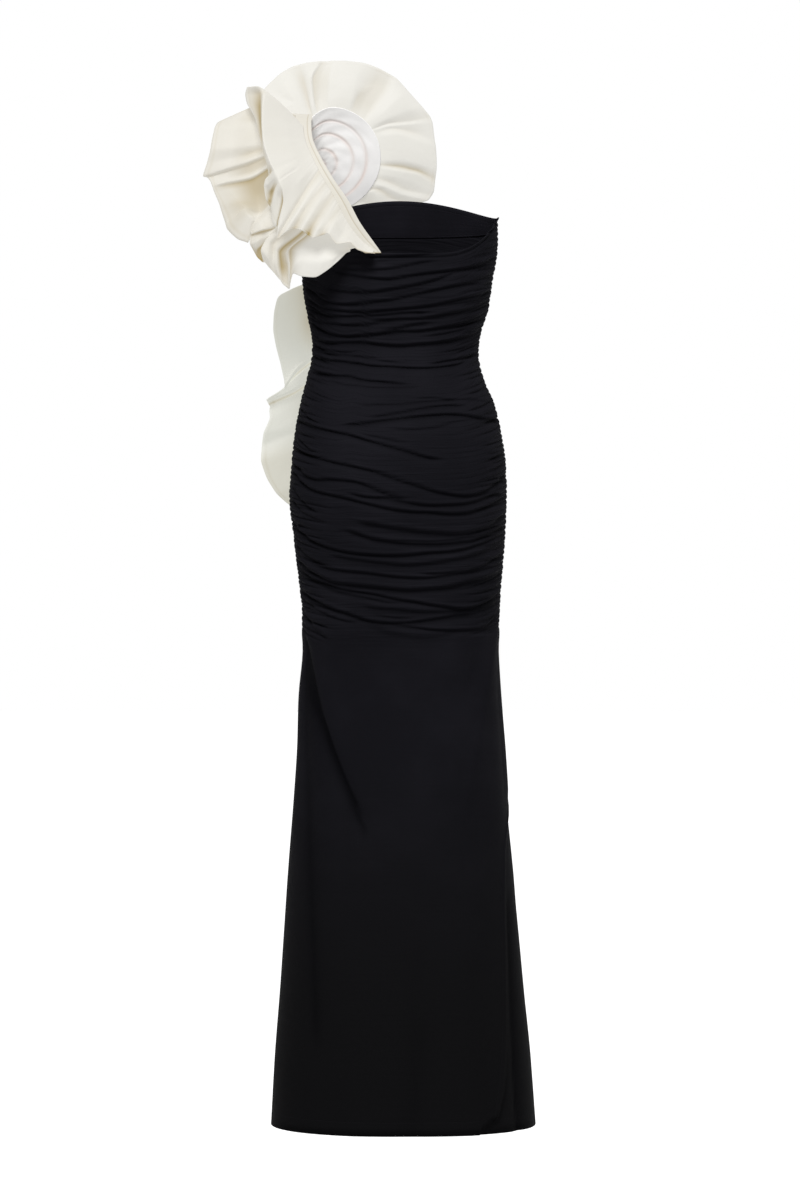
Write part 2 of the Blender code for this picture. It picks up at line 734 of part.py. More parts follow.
def make_rosette_rings():
    for number, (reach, rise, waves, deep) in enumerate(ROSETTE_RINGS, 1):
        angles = np.linspace(0, 2 * math.pi, waves * 4 + 1)
        wave = np.sin(waves * angles + number) * deep * MM
        slant = math.hypot(reach, rise)
        seam_radius = DISH_RINGS[number - 1] * rim_radius(angles)
        level = base_level() + BASE_WALL / 2 + IVORY_GAP + RUFFLE_WALL / 2 * reach / slant
        points = []
        for s in (0, 0.5, 1.0):
            radius = seam_radius + reach * MM * s - wave * s * rise / slant
            p = rosette_point(angles, seam_radius, level)
            p[:, 0] = ROSETTE_X + radius * np.cos(angles)
            p[:, 2] = ROSETTE_Z + radius * np.sin(angles)
            p[:, 1] += rise * MM * s**RING_CURL + wave * s * reach / slant
            points.append(p)
        sheet(f"rosette_ring_{number}", np.array(points), RUFFLE_WALL, ivory, round_closed=True)


def make_cascade_ruffle():
    rows = between_folds(CASCADE_FOLDS, 2) * MM
    seam_x, seam_z = rows[:, 0], rows[:, 1]
    seam_y = beside_sheath(seam_x, seam_z, True, RUFFLE_WALL / 2 + CASCADE_CLEARANCE)
    seam = np.stack((seam_x, seam_y, seam_z), axis=-1)
    bow = np.stack((0 * seam_x, rows[:, 5], 0 * seam_x), axis=-1)
    sheet("cascade_ruffle", frill(seam, rows[:, 2:5], bow, 5), RUFFLE_WALL, ivory)


for old in list(bpy.data.objects):
    bpy.data.objects.remove(old, do_unlink=True)
dress = bpy.data.collections.new("maxi_dress")
bpy.context.scene.collection.children.link(dress)
black = material("black_jersey", (0.009, 0.009, 0.011), 0.85)
ivory = material("ivory_taffeta", (0.82, 0.80, 0.70), 0.6)
white = material("white_lining", (0.76, 0.75, 0.73), 0.8)

make_back_panel()
front_inside = make_front_panel()
make_front_facing(front_inside)
make_shoulder_strap()
make_strap_ruffle("strap_ruffle_lower", LOBE_FOLDS, LOBE_SEAM)
make_strap_ruffle("strap_ruffle_upper", PETAL_FOLDS, PETAL_SEAM)
make_dish("rosette_lining", 0.0, LINING_WALL, white)
make_dish("rosette_base", base_level(), BASE_WALL, ivory)
make_collar_ruffle()
make_rosette_rings()
make_cascade_ruffle()
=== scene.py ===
import math

import bmesh
import bpy
import numpy as np
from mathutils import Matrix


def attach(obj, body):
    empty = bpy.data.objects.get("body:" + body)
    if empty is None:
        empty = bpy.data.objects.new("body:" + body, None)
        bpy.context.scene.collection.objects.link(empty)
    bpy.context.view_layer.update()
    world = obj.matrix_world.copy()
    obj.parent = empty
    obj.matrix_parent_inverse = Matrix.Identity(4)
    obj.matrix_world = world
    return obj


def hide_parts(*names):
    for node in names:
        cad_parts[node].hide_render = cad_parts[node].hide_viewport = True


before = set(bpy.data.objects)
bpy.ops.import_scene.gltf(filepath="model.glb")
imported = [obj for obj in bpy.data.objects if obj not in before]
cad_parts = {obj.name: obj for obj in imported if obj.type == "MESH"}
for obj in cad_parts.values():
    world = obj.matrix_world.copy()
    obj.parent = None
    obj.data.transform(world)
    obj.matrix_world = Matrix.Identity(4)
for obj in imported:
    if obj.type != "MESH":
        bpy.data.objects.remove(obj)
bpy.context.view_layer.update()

# A one-shoulder maxi dress, held up as it is worn and seen from the back. Lengths are in metres and the
# tables' rows in millimetres. The wearer's back is towards -Y and their right is +X.
MM = 0.001


# THE STUDIO
# A pale floor well below the hem, a white room, and one large soft light above and to the left of the
# camera, which stands six metres behind the dress at the height of the hips.

FLOOR_HEIGHT, FLOOR_HALF = -1.35, 30
# How far behind the dress the camera stands, and how high, in millimetres from the waist
CAMERA_AWAY, CAMERA_HEIGHT = 6000, -361.6

floor_mesh = bmesh.new()
bmesh.ops.create_grid(floor_mesh, x_segments=1, y_segments=1, size=FLOOR_HALF)
bmesh.ops.translate(floor_mesh, verts=floor_mesh.verts, vec=(0, 0, FLOOR_HEIGHT))
floor = bpy.data.objects.new("studio_floor", bpy.data.meshes.new("studio_floor"))
floor_mesh.to_mesh(floor.data)
floor_mesh.free()
bpy.context.scene.collection.objects.link(floor)
painted_light_by_height = bpy.data.materials.new("studio_pale")
painted_light_by_height.use_nodes = True
floor_shader = painted_light_by_height.node_tree.nodes["Principled BSDF"]
floor_shader.inputs["Base Color"].default_value = (0.5, 0.5, 0.5, 1)
floor_shader.inputs["Roughness"].default_value = 1.0
floor_shader.inputs["Specular IOR Level"].default_value = 0.0
floor_shader.inputs["Emission Strength"].default_value = 1.0
on_floor = painted_light_by_height.node_tree.nodes.new("ShaderNodeTexCoord")
depth = painted_light_by_height.node_tree.nodes.new("ShaderNodeSeparateXYZ")
beyond = painted_light_by_height.node_tree.nodes.new("ShaderNodeMapRange")
beyond.inputs["From Min"].default_value = 0.2
beyond.inputs["From Max"].default_value = 0.7
painted_light_by_height.node_tree.links.new(on_floor.outputs["Object"], depth.inputs["Vector"])
painted_light_by_height.node_tree.links.new(depth.outputs["Y"], beyond.inputs["Value"])
painted_light_by_height.node_tree.links.new(beyond.outputs["Result"], floor_shader.inputs["Emission Color"])
floor.data.materials.append(painted_light_by_height)

room = bpy.data.worlds.new("white_room")
room.use_nodes = True
# The wall beyond the dress is white, the right wall pale, and the rest of the room a softer grey
toward = room.node_tree.nodes.new("ShaderNodeTexCoord")
facing = room.node_tree.nodes.new("ShaderNodeSeparateXYZ")
wall = room.node_tree.nodes.new("ShaderNodeMapRange")
wall.interpolation_type = "SMOOTHSTEP"
wall.inputs["From Min"].default_value = 0.9
wall.inputs["From Max"].default_value = 0.97
wall.inputs["To Min"].default_value = 0.3
wall.inputs["To Max"].default_value = 1.0
room.node_tree.links.new(toward.outputs["Generated"], facing.inputs["Vector"])
room.node_tree.links.new(facing.outputs["Y"], wall.inputs["Value"])
pale_wall = room.node_tree.nodes.new("ShaderNodeMapRange")
pale_wall.interpolation_type = "SMOOTHSTEP"
pale_wall.inputs["From Min"].default_value = 0.3
pale_wall.inputs["From Max"].default_value = 0.9
pale_wall.inputs["To Max"].default_value = 0.6
both = room.node_tree.nodes.new("ShaderNodeMath")
room.node_tree.links.new(facing.outputs["X"], pale_wall.inputs["Value"])
room.node_tree.links.new(wall.outputs["Result"], both.inputs[0])
room.node_tree.links.new(pale_wall.outputs["Result"], both.inputs[1])
room.node_tree.links.new(both.outputs["Value"], room.node_tree.nodes["Background"].inputs["Strength"])
room.node_tree.nodes["Background"].inputs["Color"].default_value = (1, 1, 1, 1)
bpy.context.scene.world = room
bpy.context.scene.view_settings.view_transform = "Standard"


def soft_light(name, place, aim, size, power):
    lamp = bpy.data.lights.new(name, "AREA")
    lamp.shape = "DISK"
    lamp.size = size
    lamp.energy = power
    made = bpy.data.objects.new(name, lamp)
    made.location = place
    toward = np.array(aim) - np.array(place)
    flat = math.hypot(toward[0], toward[1])
    made.rotation_euler = (math.atan2(flat, -toward[2]), 0, math.atan2(-toward[0], toward[1]))
    bpy.context.scene.collection.objects.link(made)


soft_light("key", (-0.5, -2.3, 2.4), (0, 0, 0), 1.7, 116)

camera = bpy.data.objects.new("camera", bpy.data.cameras.new("camera"))
camera.data.sensor_width = 36
camera.data.lens = 122.4
camera.location = (0, -CAMERA_AWAY * MM, CAMERA_HEIGHT * MM)
camera.rotation_euler = (math.pi / 2, 0, 0)
bpy.context.scene.collection.objects.link(camera)
bpy.context.scene.camera = camera


# BACK PANEL
# One piece of matte black jersey from the top edge to the hem. It is gathered into both side seams down
# to the thigh, so it lies in soft folds across the body, and its right edge hangs free below the slit.


class Number:
    """A value that changes over a cloth's surface, written in ordinary sums."""

    def __init__(self, finish, socket):
        self.finish = finish
        self.socket = socket

    def sum(self, operation, *others):
        return self.finish.node("Math", {"operation": operation}, *(self, *others))

    def __add__(self, other):
        return self.sum("ADD", other)

    __radd__ = __add__

    def __mul__(self, other):
        return self.sum("MULTIPLY", other)

    __rmul__ = __mul__

    def __sub__(self, other):
        return self.sum("SUBTRACT", other)

    def __rsub__(self, other):
        return self.finish.node("Math", {"operation": "SUBTRACT"}, other, self)

    def __truediv__(self, other):
        return self.sum("DIVIDE", other)

    def wave(self):
        return self.sum("SINE")

    def size(self):
        return self.sum("ABSOLUTE")

    def between(self, low, high):
        """0 at low, 1 at high, with a smooth step."""
        made = {"interpolation_type": "SMOOTHSTEP"}
        return self.finish.node("MapRange", made, self, low, high)


class Finish:
    """A cloth's own material: its fixed values, and the nodes that vary its colour and its surface."""

    def __init__(self, name, **fixed):
        self.material = bpy.data.materials.new(name)
        self.material.use_nodes = True
        self.tree = self.material.node_tree
        self.shader = self.tree.nodes["Principled BSDF"]
        for socket, value in fixed.items():
            self.shader.inputs[socket.replace("_", " ")].default_value = value

    def node(self, kind, settings, *inputs, output=0):
        made = self.tree.nodes.new("ShaderNode" + kind)
        for setting, value in settings.items():
            setattr(made, setting, value)
        sockets = [s for s in made.inputs if s.enabled]
        for socket, value in zip(sockets, inputs):
            if isinstance(value, Number):
                self.tree.links.new(value.socket, socket)
            elif value is not None:
                socket.default_value = value
        outputs = [s for s in made.outputs if s.enabled]
        return Number(self, outputs[output])

    def part(self, vector, k):
        return self.node("SeparateXYZ", {}, vector, output=k)

    def cloth_place(self):
        """The place on the cloth, in metres across and down it, from its UV map."""
        return self.node("UVMap", {"uv_map": "cloth"})

    def mark(self, name):
        """A value stored on the cloth's points."""
        return self.node("Attribute", {"attribute_name": name}, output=2)

    def height(self):
        """How high the point stands, in metres."""
        return self.part(self.node("TexCoord", {}, output=3), 2)

    def row(self, name, wide):
        """1 along a sewn row, from the distance to it that is stored on the cloth's points."""
        return self.node("Math", {"operation": "SUBTRACT"}, 1, self.mark(name).size() / wide).between(0, 1)

    def noise(self, place, scale, detail=2.0):
        return self.node("TexNoise", {}, place, scale, detail)

    def stretched(self, place, scale):
        return self.node("VectorMath", {"operation": "MULTIPLY"}, place, scale)

    def colour(self, share, first, second):
        made = {"data_type": "RGBA"}
        return self.node("Mix", made, share, (*first, 1), (*second, 1))

    def relief(self, height, distance, strength=1.0):
        """Raises the surface by this height, in metres where the distance is 1 metre."""
        return self.node("Bump", {}, strength, distance, None, height)

    def use(self, **outputs):
        for socket, value in outputs.items():
            self.tree.links.new(value.socket, self.shader.inputs[socket.replace("_", " ")])
        return self.material


def read_rows(rows, at, held=False):
    """Rows of a table, each with its place first, read as smooth curves at the places asked for.

    A held curve never passes beyond its rows' values where it turns back.
    """
    rows = np.array(sorted(tuple(float(v) for v in row) for row in rows))
    place, values = rows[:, 0], rows[:, 1:]
    slopes = np.gradient(values, place, axis=0)
    if held:
        steps = np.diff(values, axis=0) / np.diff(place)[:, None]
        gentler = np.minimum(np.abs(steps[1:]), np.abs(steps[:-1])) * np.sign(steps[1:])
        slopes[1:-1] = np.where(steps[1:] * steps[:-1] > 0, gentler, 0)
    at = np.clip(np.asarray(at, float), place[0], place[-1])
    i = np.clip(np.searchsorted(place, at) - 1, 0, len(place) - 2)
    step = place[i + 1] - place[i]
    t = ((at - place[i]) / step)[..., None]
    step = step[..., None]
    return (
        (2 * t**3 - 3 * t**2 + 1) * values[i]
        + (t**3 - 2 * t**2 + t) * step * slopes[i]
        + (3 * t**2 - 2 * t**3) * values[i + 1]
        + (t**3 - t**2) * step * slopes[i + 1]
    )


def fade(low, high, value):
    """0 below low, 1 above high and a smooth step between."""
    t = np.clip((value - low) / (high - low), 0, 1)
    return t * t * (3 - 2 * t)


# The inside of the sheath: height, middle, half width, depth to the front, depth to the back
SECTIONS = (
    (240, -1, 140, 100, 84),
    (201, -1, 142, 112, 92),
    (144, -1, 141, 127, 97),
    (103, -4, 137, 124, 97),
    (68, -4, 132, 112, 93),
    (32, -6, 123, 97, 85),
    (0, -7, 120, 89, 81),
    (-38, -7, 128, 93, 91),
    (-73, -4, 140, 98, 104),
    (-109, -3, 148, 102, 116),
    (-162, -2, 155, 105, 126),
    (-215, -3, 157, 105, 128),
    (-267, -1, 153, 105, 122),
    (-320, 0, 148, 104, 114),
    (-373, 1, 143, 104, 108),
    (-409, 1, 142, 104, 107),
    (-444, 1, 143, 105, 108),
    (-494, 0, 147, 107, 111),
    (-582, 2, 152, 113, 119),
    (-656, 2, 157, 119, 127),
    (-758, 3, 166, 128, 137),
    (-847, 4, 173, 135, 145),
    (-935, 5, 180, 140, 151),
    (-1023, 6, 188, 145, 156),
    (-1130, 7, 195, 150, 161),
)
SECTION_POWER = 2.3
SIDE_TOP, HEM = 201 * MM, -1130 * MM
GATHERS_END, SLIT_TOP = -425 * MM, -662 * MM
# The cloth's middle stands this far outside the sheath's inside, in the gathers and in the skirt
GATHERED_OUT, SKIRT_OUT = 2.9 * MM, 1.2 * MM


def across(angle):
    """How far across the body a place round the section lies, from -1 to 1."""
    return np.sign(np.cos(angle)) * np.abs(np.cos(angle)) ** (2 / SECTION_POWER)


# A fold's depth, how far its crisp side above and its round side below reach where it is 1 wide, and the
# round lip over it
FOLD_DEPTH, FOLD_ABOVE, FOLD_BELOW = 4.4 * MM, 1.5, 4.8
LIP_DEPTH, LIP_ABOVE, LIP_HALF = 0.3, 3.4, 2.0


def sheath_point(angle, z, outwards):
    """A point of the sheath: angle round the section from +X over the front, and a distance outwards."""
    angle, z, outwards = np.broadcast_arrays(angle, z, outwards)
    middle, half, front, back = np.moveaxis(read_rows(SECTIONS, z / MM) * MM, -1, 0)
    depth = np.where(np.sin(angle) >= 0, front, back)
    u = across(angle)
    v = np.sign(np.sin(angle)) * np.abs(np.sin(angle)) ** (2 / SECTION_POWER)
    normal_x = np.sign(u) * np.abs(u) ** (SECTION_POWER - 1) / half
    normal_y = np.sign(v) * np.abs(v) ** (SECTION_POWER - 1) / depth
    length = np.hypot(normal_x, normal_y)
    x = middle + half * u + outwards * normal_x / length
    return np.stack((x, depth * v + outwards * normal_y / length, z), axis=-1)


# How the photo is read: millimetres a pixel at the body's middle, and the pixel of the waist's middle
PIXEL, MIDDLE_COLUMN, WAIST_ROW = 1.47, 400, 354


def from_photo(column, row, y, digits=0):
    """The x, y and z, in rounded millimetres, of a place in the photo that lies at the depth y."""
    nearer = 1 + y / CAMERA_AWAY
    x = (column - MIDDLE_COLUMN) * PIXEL * nearer
    z = CAMERA_HEIGHT + ((WAIST_ROW - row) * PIXEL - CAMERA_HEIGHT) * nearer
    return round(x, digits), round(y, digits), round(z, digits)


def on_back(column, row):
    """The x and z, in whole millimetres, of a place in the photo that lies on the back panel."""
    upwards = np.array(SECTIONS[::-1], float)
    x, z = (column - MIDDLE_COLUMN) * PIXEL, (WAIST_ROW - row) * PIXEL
    for _ in range(4):
        middle, half, back = (np.interp(z, upwards[:, 0], upwards[:, k]) for k in (1, 2, 4))
        share = np.clip(abs(x - middle) / (half + 3), 0, 0.995)
        y = -(back + 3) * (1 - share**SECTION_POWER) ** (1 / SECTION_POWER)
        nearer = 1 + y / CAMERA_AWAY
        x = (column - MIDDLE_COLUMN) * PIXEL * nearer
        z = CAMERA_HEIGHT + ((WAIST_ROW - row) * PIXEL - CAMERA_HEIGHT) * nearer
    return round(x), round(z)


# Folds drawn across the back by the side seams: how deep, how wide, and the photo's pixels that each runs
# through. A fold that ends short of a seam dies away there.
BACK_FOLDS = (
    (0.5, 1.0, ((349, 257), (380, 257), (410, 256), (430, 254), (445, 252), (460, 250))),
    (0.5, 1.0, ((342, 261), (355, 263), (367, 263), (380, 261), (392, 260))),
    (0.7, 1.0, ((340, 268), (355, 270), (370, 270), (390, 269), (405, 266), (420, 263), (435, 261))),
    (0.9, 1.0, (
        (333, 271), (345, 274), (360, 277), (375, 279), (390, 279), (410, 276), (430, 273), (450, 271),
        (470, 267), (485, 262), (497, 255),
    )),
    (0.4, 1.0, ((322, 283), (335, 287), (350, 289), (365, 289))),
    (0.9, 1.1, (
        (325, 288), (340, 291), (360, 293), (375, 292), (390, 290), (410, 286), (425, 283), (440, 278),
        (452, 274),
    )),
    (0.9, 1.0, (
        (304, 284), (312, 291), (320, 297), (330, 302), (345, 304), (360, 304), (375, 302), (390, 300),
        (405, 297), (420, 293), (435, 290), (450, 287), (465, 284), (480, 283),
    )),
    (0.5, 0.8, ((385, 297), (400, 293), (415, 290), (425, 288))),
    (0.9, 1.0, (
        (306, 294), (318, 305), (330, 309), (345, 311), (365, 312), (385, 311), (400, 309), (420, 307),
        (440, 304), (455, 300), (470, 297), (485, 292), (493, 287),
    )),
    (0.5, 0.9, ((445, 305), (470, 301), (490, 296))),
    (0.9, 0.9, ((307, 303), (325, 314), (345, 316), (365, 316), (385, 315), (405, 313), (430, 312))),
    (0.8, 1.1, ((370, 320), (400, 319), (430, 318), (445, 315), (460, 312), (475, 307), (490, 300))),
    (0.7, 0.9, ((308, 310), (320, 320), (335, 324), (350, 325), (365, 325), (380, 322), (395, 320))),
    (0.8, 1.2, ((385, 331), (400, 328), (415, 325), (432, 323))),
    (1.0, 1.0, (
        (310, 320), (325, 332), (340, 336), (360, 336), (380, 334), (400, 332), (420, 331), (440, 328),
        (455, 325), (470, 320), (488, 311),
    )),
    (1.0, 1.2, (
        (312, 339), (325, 343), (345, 343), (365, 343), (380, 345), (400, 346), (415, 345), (430, 344),
        (445, 342), (460, 338), (475, 333), (485, 326),
    )),
    (0.5, 0.9, ((423, 337), (440, 334), (455, 331), (470, 327))),
    (0.6, 0.8, ((312, 345), (325, 350), (340, 352), (355, 352))),
    (0.5, 0.8, ((313, 351), (325, 354), (345, 355), (360, 357), (380, 359))),
    (0.9, 1.0, (
        (313, 355), (330, 360), (345, 362), (360, 364), (375, 366), (390, 367), (410, 368), (425, 368),
        (440, 367), (455, 365), (465, 362),
    )),
    (0.5, 0.8, ((375, 360), (390, 362), (402, 364))),
    (0.7, 0.9, ((430, 364), (445, 361), (460, 358), (472, 354), (481, 349))),
    (0.3, 0.9, ((438, 353), (455, 350), (470, 346))),
    (0.8, 1.1, (
        (311, 373), (325, 374), (340, 376), (350, 377), (360, 380), (372, 381), (390, 383), (410, 385),
    )),
    (0.4, 1.0, ((313, 379), (330, 381), (345, 385), (360, 387), (375, 388), (395, 388), (420, 387))),
    (0.4, 0.9, ((415, 399), (432, 398), (448, 400), (470, 400), (487, 402))),
    (0.4, 1.0, ((360, 406), (380, 405), (400, 405), (420, 403), (440, 401), (455, 400))),
    (0.7, 1.0, ((370, 418), (385, 416), (400, 413), (415, 410), (430, 408), (445, 406), (465, 406))),
    (1.0, 1.1, (
        (345, 425), (360, 424), (375, 422), (390, 420), (410, 418), (430, 416), (450, 415), (465, 416),
        (480, 418), (498, 420),
    )),
    (0.4, 1.0, ((390, 428), (410, 430), (425, 429), (440, 427), (450, 423), (470, 421))),
    (1.0, 1.0, (
        (296, 420), (310, 425), (322, 429), (335, 432), (350, 435), (365, 440), (380, 444), (395, 448),
        (410, 452), (425, 457), (440, 460),
    )),
    (0.5, 0.9, ((365, 435), (380, 438), (395, 441), (405, 443))),
    (0.7, 0.8, ((300, 405), (308, 416), (318, 422))),
    (0.6, 0.8, ((297, 412), (304, 419), (314, 424))),
    (0.9, 1.0, (
        (296, 446), (303, 452), (315, 458), (330, 462), (345, 465), (360, 468), (375, 472), (390, 477),
        (405, 482), (420, 487), (435, 492), (450, 495), (465, 496), (478, 494), (488, 489), (500, 481),
    )),
    (0.9, 1.1, (
        (293, 462), (305, 474), (315, 479), (330, 480), (345, 481), (358, 483), (370, 487), (380, 491),
        (390, 495), (400, 498), (408, 499),
    )),
    (0.8, 1.1, (
        (350, 493), (360, 496), (375, 498), (390, 499), (405, 502), (420, 505), (435, 506), (450, 505),
        (465, 504), (480, 500), (494, 494),
    )),
    (1.0, 1.0, (
        (293, 471), (308, 487), (318, 492), (330, 495), (345, 498), (360, 502), (375, 506), (390, 509),
        (410, 512), (430, 513), (450, 514), (470, 512), (485, 507), (503, 498),
    )),
    (0.6, 0.8, ((295, 428), (303, 442), (312, 450), (320, 453))),
    (0.5, 0.8, ((294, 438), (302, 447), (314, 452))),
    (0.6, 0.9, ((292, 483), (300, 497), (310, 508), (320, 514))),
    (0.5, 0.9, ((291, 496), (300, 509), (312, 517), (326, 522))),
    (0.8, 0.8, ((484, 462), (492, 458), (503, 451))),
    (0.7, 0.8, ((486, 472), (494, 468), (504, 460))),
    (0.8, 0.8, ((486, 488), (494, 483), (506, 473))),
    (0.9, 1.8, (
        (358, 523), (375, 526), (390, 529), (405, 531), (420, 533), (440, 534), (455, 535), (470, 533),
        (482, 529), (492, 524), (506, 513),
    )),
    (1.0, 1.3, (
        (345, 530), (360, 535), (375, 540), (390, 542), (405, 544), (420, 545), (440, 545), (460, 543),
        (475, 541), (485, 536), (504, 525),
    )),
    (0.5, 0.8, ((400, 540), (415, 541), (440, 541), (465, 538), (480, 535), (495, 526))),
    (1.0, 1.0, (
        (292, 521), (303, 533), (313, 541), (323, 546), (335, 550), (350, 553), (370, 555), (390, 556),
        (410, 555), (430, 553), (450, 552), (465, 549), (480, 544), (504, 533),
    )),
    (0.7, 1.6, (
        (330, 555), (345, 559), (365, 562), (385, 564), (405, 566), (425, 565), (445, 562), (462, 559),
        (478, 554), (490, 548), (503, 540),
    )),
    (0.7, 0.9, ((294, 540), (305, 553), (315, 560), (328, 566))),
    (0.8, 1.0, (
        (315, 566), (330, 569), (350, 572), (370, 574), (390, 577), (410, 578), (430, 578), (445, 576),
        (460, 573), (475, 569), (490, 562), (504, 552),
    )),
    (0.6, 0.7, ((420, 574), (445, 573), (462, 570))),
    (1.0, 1.6, (
        (297, 558), (310, 570), (322, 578), (335, 584), (350, 586), (370, 588), (390, 590), (410, 591),
        (430, 590), (450, 588), (465, 584), (480, 580), (502, 570),
    )),
    (1.0, 1.0, (
        (298, 566), (310, 577), (325, 584), (340, 589), (355, 592), (370, 594), (385, 597), (400, 600),
        (415, 602), (430, 605), (445, 607), (460, 609), (472, 608), (485, 603), (501, 591),
    )),
    (0.7, 1.0, ((318, 584), (340, 593), (355, 596), (370, 599), (385, 602), (400, 604))),
    (0.8, 2.0, (
        (365, 608), (380, 610), (395, 611), (415, 613), (440, 613), (460, 612), (480, 609), (498, 600),
    )),
    (0.5, 0.8, ((377, 615), (395, 618), (415, 618))),
    (1.0, 1.2, (
        (300, 588), (312, 598), (322, 604), (335, 610), (350, 615), (365, 620), (380, 623), (395, 624),
        (410, 623), (425, 621), (440, 619), (455, 616), (475, 614),
    )),
    (0.6, 1.0, ((301, 596), (315, 608), (330, 616), (345, 621), (358, 624))),
    (0.8, 1.0, (
        (400, 626), (415, 628), (430, 630), (445, 631), (460, 631), (472, 630), (483, 627), (493, 618),
        (500, 607),
    )),
    (0.5, 2.6, ((370, 627), (385, 633), (400, 637), (420, 639), (440, 637), (455, 634))),
    (0.5, 1.6, ((302, 606), (313, 625), (322, 635), (332, 643))),
    (0.7, 0.8, ((484, 622), (491, 617), (499, 606))),
)


def back_folds():
    """The back's folds with their places in millimetres."""
    return [(deep, wide, [on_back(*place) for place in places]) for deep, wide, places in BACK_FOLDS]


# Soft folds of the skirt: the places x, z that the fold runs through, how far it reaches to its left and
# its right, and its depth. A fold with a minus depth stands out.
BACK_SKIRT_FOLDS = (
    ([
        (-141, -400), (-128, -470), (-115, -525), (-98, -575), (-76, -628), (-60, -665), (-50, -695)
    ], 13, 3, 5.0),
    ([(-140, -450), (-134, -640), (-129, -800), (-122, -1010)], 8, 15, 3.2),
    ([(-150, -420), (-152, -560), (-158, -700)], 9, 9, -3.0),
    ([(141, -400), (124, -485), (105, -590), (92, -660)], 5, 16, -4.0),
    ([(112, -440), (108, -455), (99, -480), (92, -505)], 4, 8, 2.2),
    ([(138, -400), (150, -540), (160, -700)], 8, 14, 3.0),
    ([(43, -860), (34, -930), (27, -960)], 8, 20, -1.8),
    ([(41, -850), (25, -1000), (15, -1130)], 26, 26, 2.0),
    ([(-60, -900), (-70, -1130)], 26, 26, -2.0),
    ([(95, -820), (100, -1130)], 22, 22, -2.0),
)


def drawn_folds(folds, x, z, edge):
    """How far the folds draw the cloth inwards: crisp above each fold's line, and rounded below it."""
    drawn = np.zeros_like(z)
    for deep, wide, places in folds:
        route = np.array(places, float) * MM
        line = read_rows(np.hstack((route[:, :1] / MM, route[:, 1:])), x / MM)[..., 0]
        shown = np.ones_like(z)
        if route[0, 0] > edge[0]:
            shown = shown * fade(route[0, 0] - 8 * MM, route[0, 0] + 16 * MM, x)
        if route[-1, 0] < edge[1]:
            shown = shown * (1 - fade(route[-1, 0] - 16 * MM, route[-1, 0] + 8 * MM, x))
        away = (z - line) / (wide * MM)
        reach = np.where(away > 0, FOLD_ABOVE, FOLD_BELOW)
        drawn += deep * shown * np.exp(-np.abs(away / reach) ** 1.5)
        drawn -= deep * shown * LIP_DEPTH * np.exp(-(((away - LIP_ABOVE) / LIP_HALF) ** 2))
    return FOLD_DEPTH * np.tanh(drawn)


# Short gathers at the side seams, each drawn at random between two values: the reach over the half body,
# the width and depth in millimetres, the share of the slant, and the spacing down the seam
GATHER_REACH, GATHER_WIDTH, GATHER_DEPTH = (0.12, 0.5), (1.6, 2.6), (1.3, 3.2)
GATHER_SLANT, GATHER_SPACING = (0.7, 1.3), (5.0, 8.5)


def seam_gathers(u, z, slant):
    """Short folds that fan out from both side seams and die away over the body."""
    rng = np.random.RandomState(3)
    drawn = np.zeros_like(z)
    for side in (-1, 1):
        height = SIDE_TOP - 6 * MM
        while height > GATHERS_END + 24 * MM:
            reach = rng.uniform(*GATHER_REACH)
            near = fade(1 - reach, 1 - 0.3 * reach, side * u)
            wide = rng.uniform(*GATHER_WIDTH) * MM
            deep = rng.uniform(*GATHER_DEPTH) * MM
            lean = slant * rng.uniform(*GATHER_SLANT)
            line = height - lean * np.sqrt(np.clip(1 - side * u, 0, 2))
            away = (z - line) / wide
            drawn += deep * near * np.exp(-np.abs(away / np.where(away > 0, 0.6, 1.2)) ** 1.5)
            height -= rng.uniform(*GATHER_SPACING) * MM
    return drawn


def skirt_folds(folds, x, z):
    drawn = np.zeros_like(z)
    for places, left, right, deep in folds:
        route = np.array(places, float) * MM
        middle = np.interp(-z, -route[:, 1], route[:, 0])
        ends = fade(route[0, 1] + 30 * MM, route[0, 1] - 30 * MM, z)
        if places[-1][1] * MM > HEM:
            ends = ends * fade(route[-1, 1] - 40 * MM, route[-1, 1] + 40 * MM, z)
        reach = np.where(x < middle, left, right) * MM
        drawn += deep * MM * ends * np.exp(-np.abs((x - middle) / reach) ** 1.5)
    return drawn


def beside_seam(u, z):
    """1 at a side seam, where both panels meet, and 0 from a few centimetres away or by the slit."""
    return fade(0.965, 1, np.abs(u)) * (1 - (u > 0) * fade(SLIT_TOP + 30 * MM, SLIT_TOP - 10 * MM, z))


def panel_heights(top, columns, gathered_rows, skirt_rows):
    """Rows of heights from a panel's top edge to its hem, closest together through the gathers."""
    down = np.linspace(0, 1, gathered_rows)[:, None]
    skirt = np.linspace(GATHERS_END, HEM, skirt_rows + 1)[1:, None]
    return np.vstack((top + (GATHERS_END - top) * down, np.repeat(skirt, columns, axis=1)))


